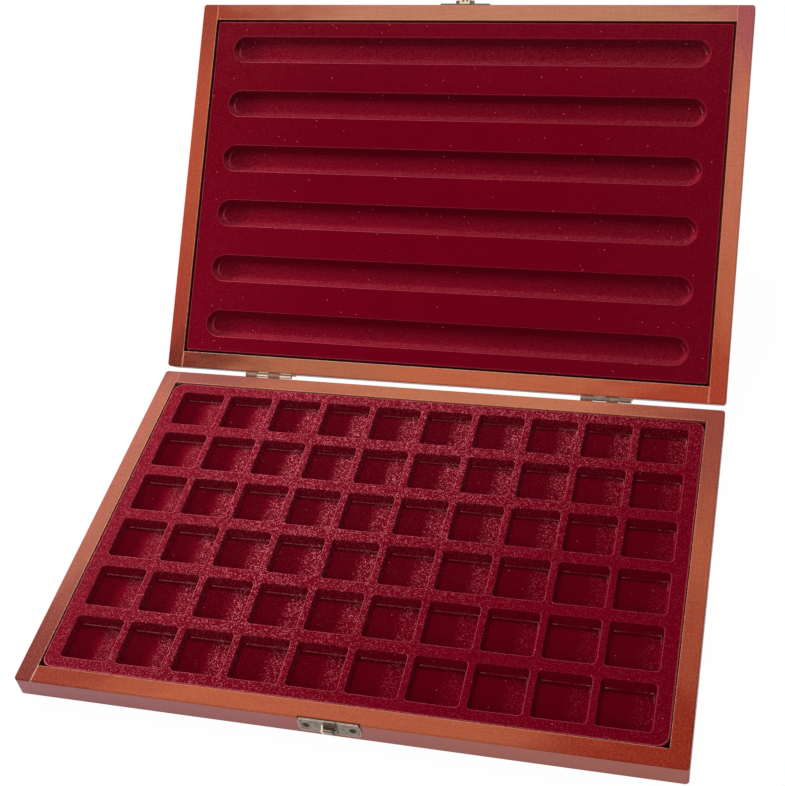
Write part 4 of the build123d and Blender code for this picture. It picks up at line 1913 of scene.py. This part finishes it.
@dataclass
class Studio:
    """A plain pale floor, a white surround and soft lamps."""

    floor_size: float = 6.0
    floor_colour: Colour = (0.86, 0.86, 0.86, 1.0)
    white: Colour = (1.0, 1.0, 1.0, 1.0)
    floor_glow: float = 0.98
    floor_drop: float = 0.2 * MM
    ambient: float = 0.28
    lamps: tuple[SoftLamp, ...] = field(
        default_factory=lambda: (
            SoftLamp("key_lamp", (-0.64, 0.22, 0.245), (-0.05, 0.0, 0.0), (0.16, 0.12), 6.2),
            SoftLamp("top_lamp", (-0.05, 0.62, 1.20), (0.0, 0.05, 0.05), (0.4, 0.3), 8.0),
            SoftLamp("front_lamp", (0.10, -1.10, 0.60), (0.0, 0.1, 0.05), (0.9, 0.6), 6.0),
        )
    )

    def build(self) -> None:
        """Lays the floor, lights the surround and hangs the lamps."""
        scene = bpy.context.scene
        scene.view_settings.view_transform = "Standard"
        half = self.floor_size / 2
        data = bpy.data.meshes.new("studio_floor")
        corners = [(-half, -half, 0), (half, -half, 0), (half, half, 0), (-half, half, 0)]
        data.from_pydata(corners, [], [(0, 1, 2, 3)])
        floor = bpy.data.objects.new("studio_floor", data)
        floor.location.z = -self.floor_drop
        scene.collection.objects.link(floor)
        floor.data.materials.append(self.floor_material())
        self.light_surround(scene)
        for lamp in self.lamps:
            lamp.build()

    def seen_plainly(self, graph: ShaderGraph) -> Output:
        """Finds the rays that show the background: the camera's, and those of gloss and glass.

        Args:
            graph: The material's or the world's graph.

        Returns:
            One for those rays and none for the others.
        """
        path = graph.node("ShaderNodeLightPath")
        seen = graph.math("MAXIMUM", path.outputs["Is Camera Ray"], path.outputs["Is Glossy Ray"])
        return graph.math("MAXIMUM", seen, path.outputs["Is Transmission Ray"])

    def floor_material(self) -> bpy.types.Material:
        """Makes the floor: pale paper that shows nearly white and keeps the case's shadow.

        Returns:
            The material.
        """
        constants = {"Base Color": self.floor_colour, "Roughness": 0.95, "Specular IOR Level": 0.1}
        material, graph, shader = new_material("studio_paper", constants)
        glow = graph.node("ShaderNodeEmission")
        set_constants(glow, {"Color": self.white})
        blend = graph.node("ShaderNodeMixShader")
        shown = graph.product(self.seen_plainly(graph), self.floor_glow)
        for socket, value in zip(blend.inputs, (shown, shader.outputs[0], glow.outputs[0])):
            graph.feed(socket, value)
        output = next(node for node in material.node_tree.nodes if node.type == "OUTPUT_MATERIAL")
        graph.feed(output.inputs["Surface"], blend.outputs[0])
        return material

    def light_surround(self, scene: bpy.types.Scene) -> None:
        """Makes the world a soft fill that shows white.

        Args:
            scene: The scene.
        """
        world = bpy.data.worlds.new("studio_surround")
        world.use_nodes = True
        scene.world = world
        graph = ShaderGraph(world.node_tree)
        blend = graph.node("ShaderNodeMixShader")
        graph.feed(blend.inputs[0], self.seen_plainly(graph))
        for index, strength in ((1, self.ambient), (2, 1.0)):
            light = graph.node("ShaderNodeBackground")
            set_constants(light, {"Color": self.white, "Strength": strength})
            graph.feed(blend.inputs[index], light.outputs[0])
        output = graph.node("ShaderNodeOutputWorld")
        graph.feed(output.inputs["Surface"], blend.outputs[0])


@dataclass
class PhotoCamera:
    """The camera at the photograph's viewpoint, as it was fitted to the case's corners."""

    place: Vector = field(default_factory=lambda: Vector((197.35, -479.01, 607.97)) * MM)
    forward: Vector = field(default_factory=lambda: Vector((-0.254309, 0.682589, -0.685127)))
    right: Vector = field(default_factory=lambda: Vector((0.964589, 0.230264, -0.128631)))
    focal_pixels: float = 1419.7
    sensor: float = 36.0
    clip: Span = (0.01, 20.0)

    def build(self) -> bpy.types.Object:
        """Sets up the camera.

        Returns:
            The camera's object.
        """
        data = bpy.data.cameras.new("photo_camera")
        data.sensor_fit = "AUTO"
        data.sensor_width = self.sensor
        data.lens = self.focal_pixels * self.sensor / max(PHOTO_WIDTH, PHOTO_HEIGHT)
        data.clip_start, data.clip_end = self.clip
        camera = bpy.data.objects.new("photo_camera", data)
        bpy.context.scene.collection.objects.link(camera)
        up = self.right.cross(self.forward)
        axes = Matrix((self.right, up, -self.forward)).transposed()
        camera.matrix_world = Matrix.Translation(self.place) @ axes.to_4x4()
        bpy.context.scene.camera = camera
        return camera


# ---------------------------------------------------------------- the whole case
def base_frame(rim: Matrix) -> WoodenFrame:
    """Describes the base's frame, whose joints show on its left side alone.

    Args:
        rim: The base's rim frame.

    Returns:
        The frame.
    """
    latch_low, latch_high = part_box("strike_plate")
    long_rail = partial(
        StainedBeech,
        rim=rim,
        grain=Grain.ALONG_X,
        front_reflection=0.88,
        pale_joint=True,
        joint_lines=(0.6, 0.0),
        wall_depth=2.2 * MM,
    )
    side_rail = partial(long_rail, grain=Grain.ALONG_Y, chatter=0.09)
    rails = {
        "front": long_rail(
            run=((-0.95, Stain.BRICK), (-0.45, Stain.AMBER), (0.4, Stain.AMBER), (0.92, Stain.CLARET)),
            seed=1.7,
            edge_soil=0.05,
            grime_span=(latch_low.x, latch_high.x),
        ),
        "back": long_rail(
            run=((-0.9, Stain.UMBER), (-0.1, Stain.HONEY), (0.5, Stain.SALMON), (0.95, Stain.ROSEWOOD)),
            seed=3.1,
        ),
        "left": side_rail(
            run=((-0.9, Stain.MAROON), (-0.2, Stain.ROSE), (0.75, Stain.ROSE), (1.0, Stain.UMBER)),
            seed=4.3,
        ),
        "right": side_rail(
            run=((-0.8, Stain.CLARET), (-0.45, Stain.SIENNA), (0.1, Stain.AMBER), (0.9, Stain.ROSEWOOD)),
            seed=5.9,
        ),
    }
    return WoodenFrame("base", rails, panel_wood(rim))


def lid_frame(rim: Matrix) -> WoodenFrame:
    """Describes the lid's frame. The lid lies face down when shut, so its hinge side is at low Y.

    Args:
        rim: The lid's rim frame.

    Returns:
        The frame.
    """
    long_rail = partial(StainedBeech, rim=rim, grain=Grain.ALONG_X, joint_lines=(1.0, 1.0))
    side_rail = partial(long_rail, grain=Grain.ALONG_Y, chatter=0.09)
    front = ((-0.95, Stain.BRICK), (-0.4, Stain.APRICOT), (0.3, Stain.PEACH), (0.7, Stain.PEACH))
    back = ((-1.0, Stain.GARNET), (-0.55, Stain.HONEY), (0.0, Stain.TAWNY), (0.45, Stain.TAWNY))
    left = ((-1.0, Stain.GARNET), (-0.6, Stain.RUSSET), (0.0, Stain.SIENNA), (0.4, Stain.SIENNA))
    right = ((-0.85, Stain.COPPER), (-0.4, Stain.TAWNY), (0.0, Stain.BLUSH), (0.45, Stain.BLUSH))
    rails = {
        "front": long_rail(run=(*front, (0.95, Stain.MAUVE)), seed=6.4),
        "back": long_rail(run=(*back, (0.8, Stain.COPPER)), seed=7.2, pale_edge=True),
        "left": side_rail(run=(*left, (1.0, Stain.BRICK)), seed=8.8),
        "right": side_rail(run=(*right, (0.85, Stain.MAUVE)), seed=2.6),
    }
    return WoodenFrame("lid", rails, panel_wood(rim))


def panel_wood(rim: Matrix) -> StainedBeech:
    """Describes a panel's wood, one tone all over and with none of the walls' shade.

    Args:
        rim: The rim frame of the panel's half.

    Returns:
        The finish.
    """
    run = ((0.0, Stain.SIENNA),)
    return StainedBeech(rim=rim, grain=Grain.ALONG_X, run=run, seed=9.1, inner_wear=0.2, wall_depth=1.0)


def main() -> None:
    """Builds the case's looks, the studio and the camera, in order."""
    logging.basicConfig(level=logging.INFO, format="%(name)s: %(message)s")
    PhotoCamera().build()
    LOG.info("camera set")
    Studio().build()
    LOG.info("studio lit")
    base_rim = base_rim_matrix()
    lid_rim = lid_rim_matrix()
    for wooden_frame in (base_frame(base_rim), lid_frame(lid_rim)):
        LOG.info("%s frame: %d pieces dressed", wooden_frame.prefix, wooden_frame.finish())
    rough_flock = TrayFlock(0.22 * MM, ground=srgb(114, 0, 25), well=srgb(110, 0, 24))
    smooth_flock = PadFlock(0.09 * MM, ground=srgb(118, 0, 27), well=srgb(122, 0, 29), crease_power=4.0)
    sheets = ((CoinTray.fitted(base_rim), rough_flock), (SlottedPad.fitted(lid_rim), smooth_flock))
    for sheet, flock in sheets:
        piece = sheet.build()
        piece.data.materials.append(flock.material(f"{sheet.name}_flock"))
        LOG.info("%s: %d faces", sheet.name, len(piece.data.polygons))
    LOG.info("hardware: %d pieces dressed", Hardware(lid_rim).finish())


if __name__ == "__main__":
    main()
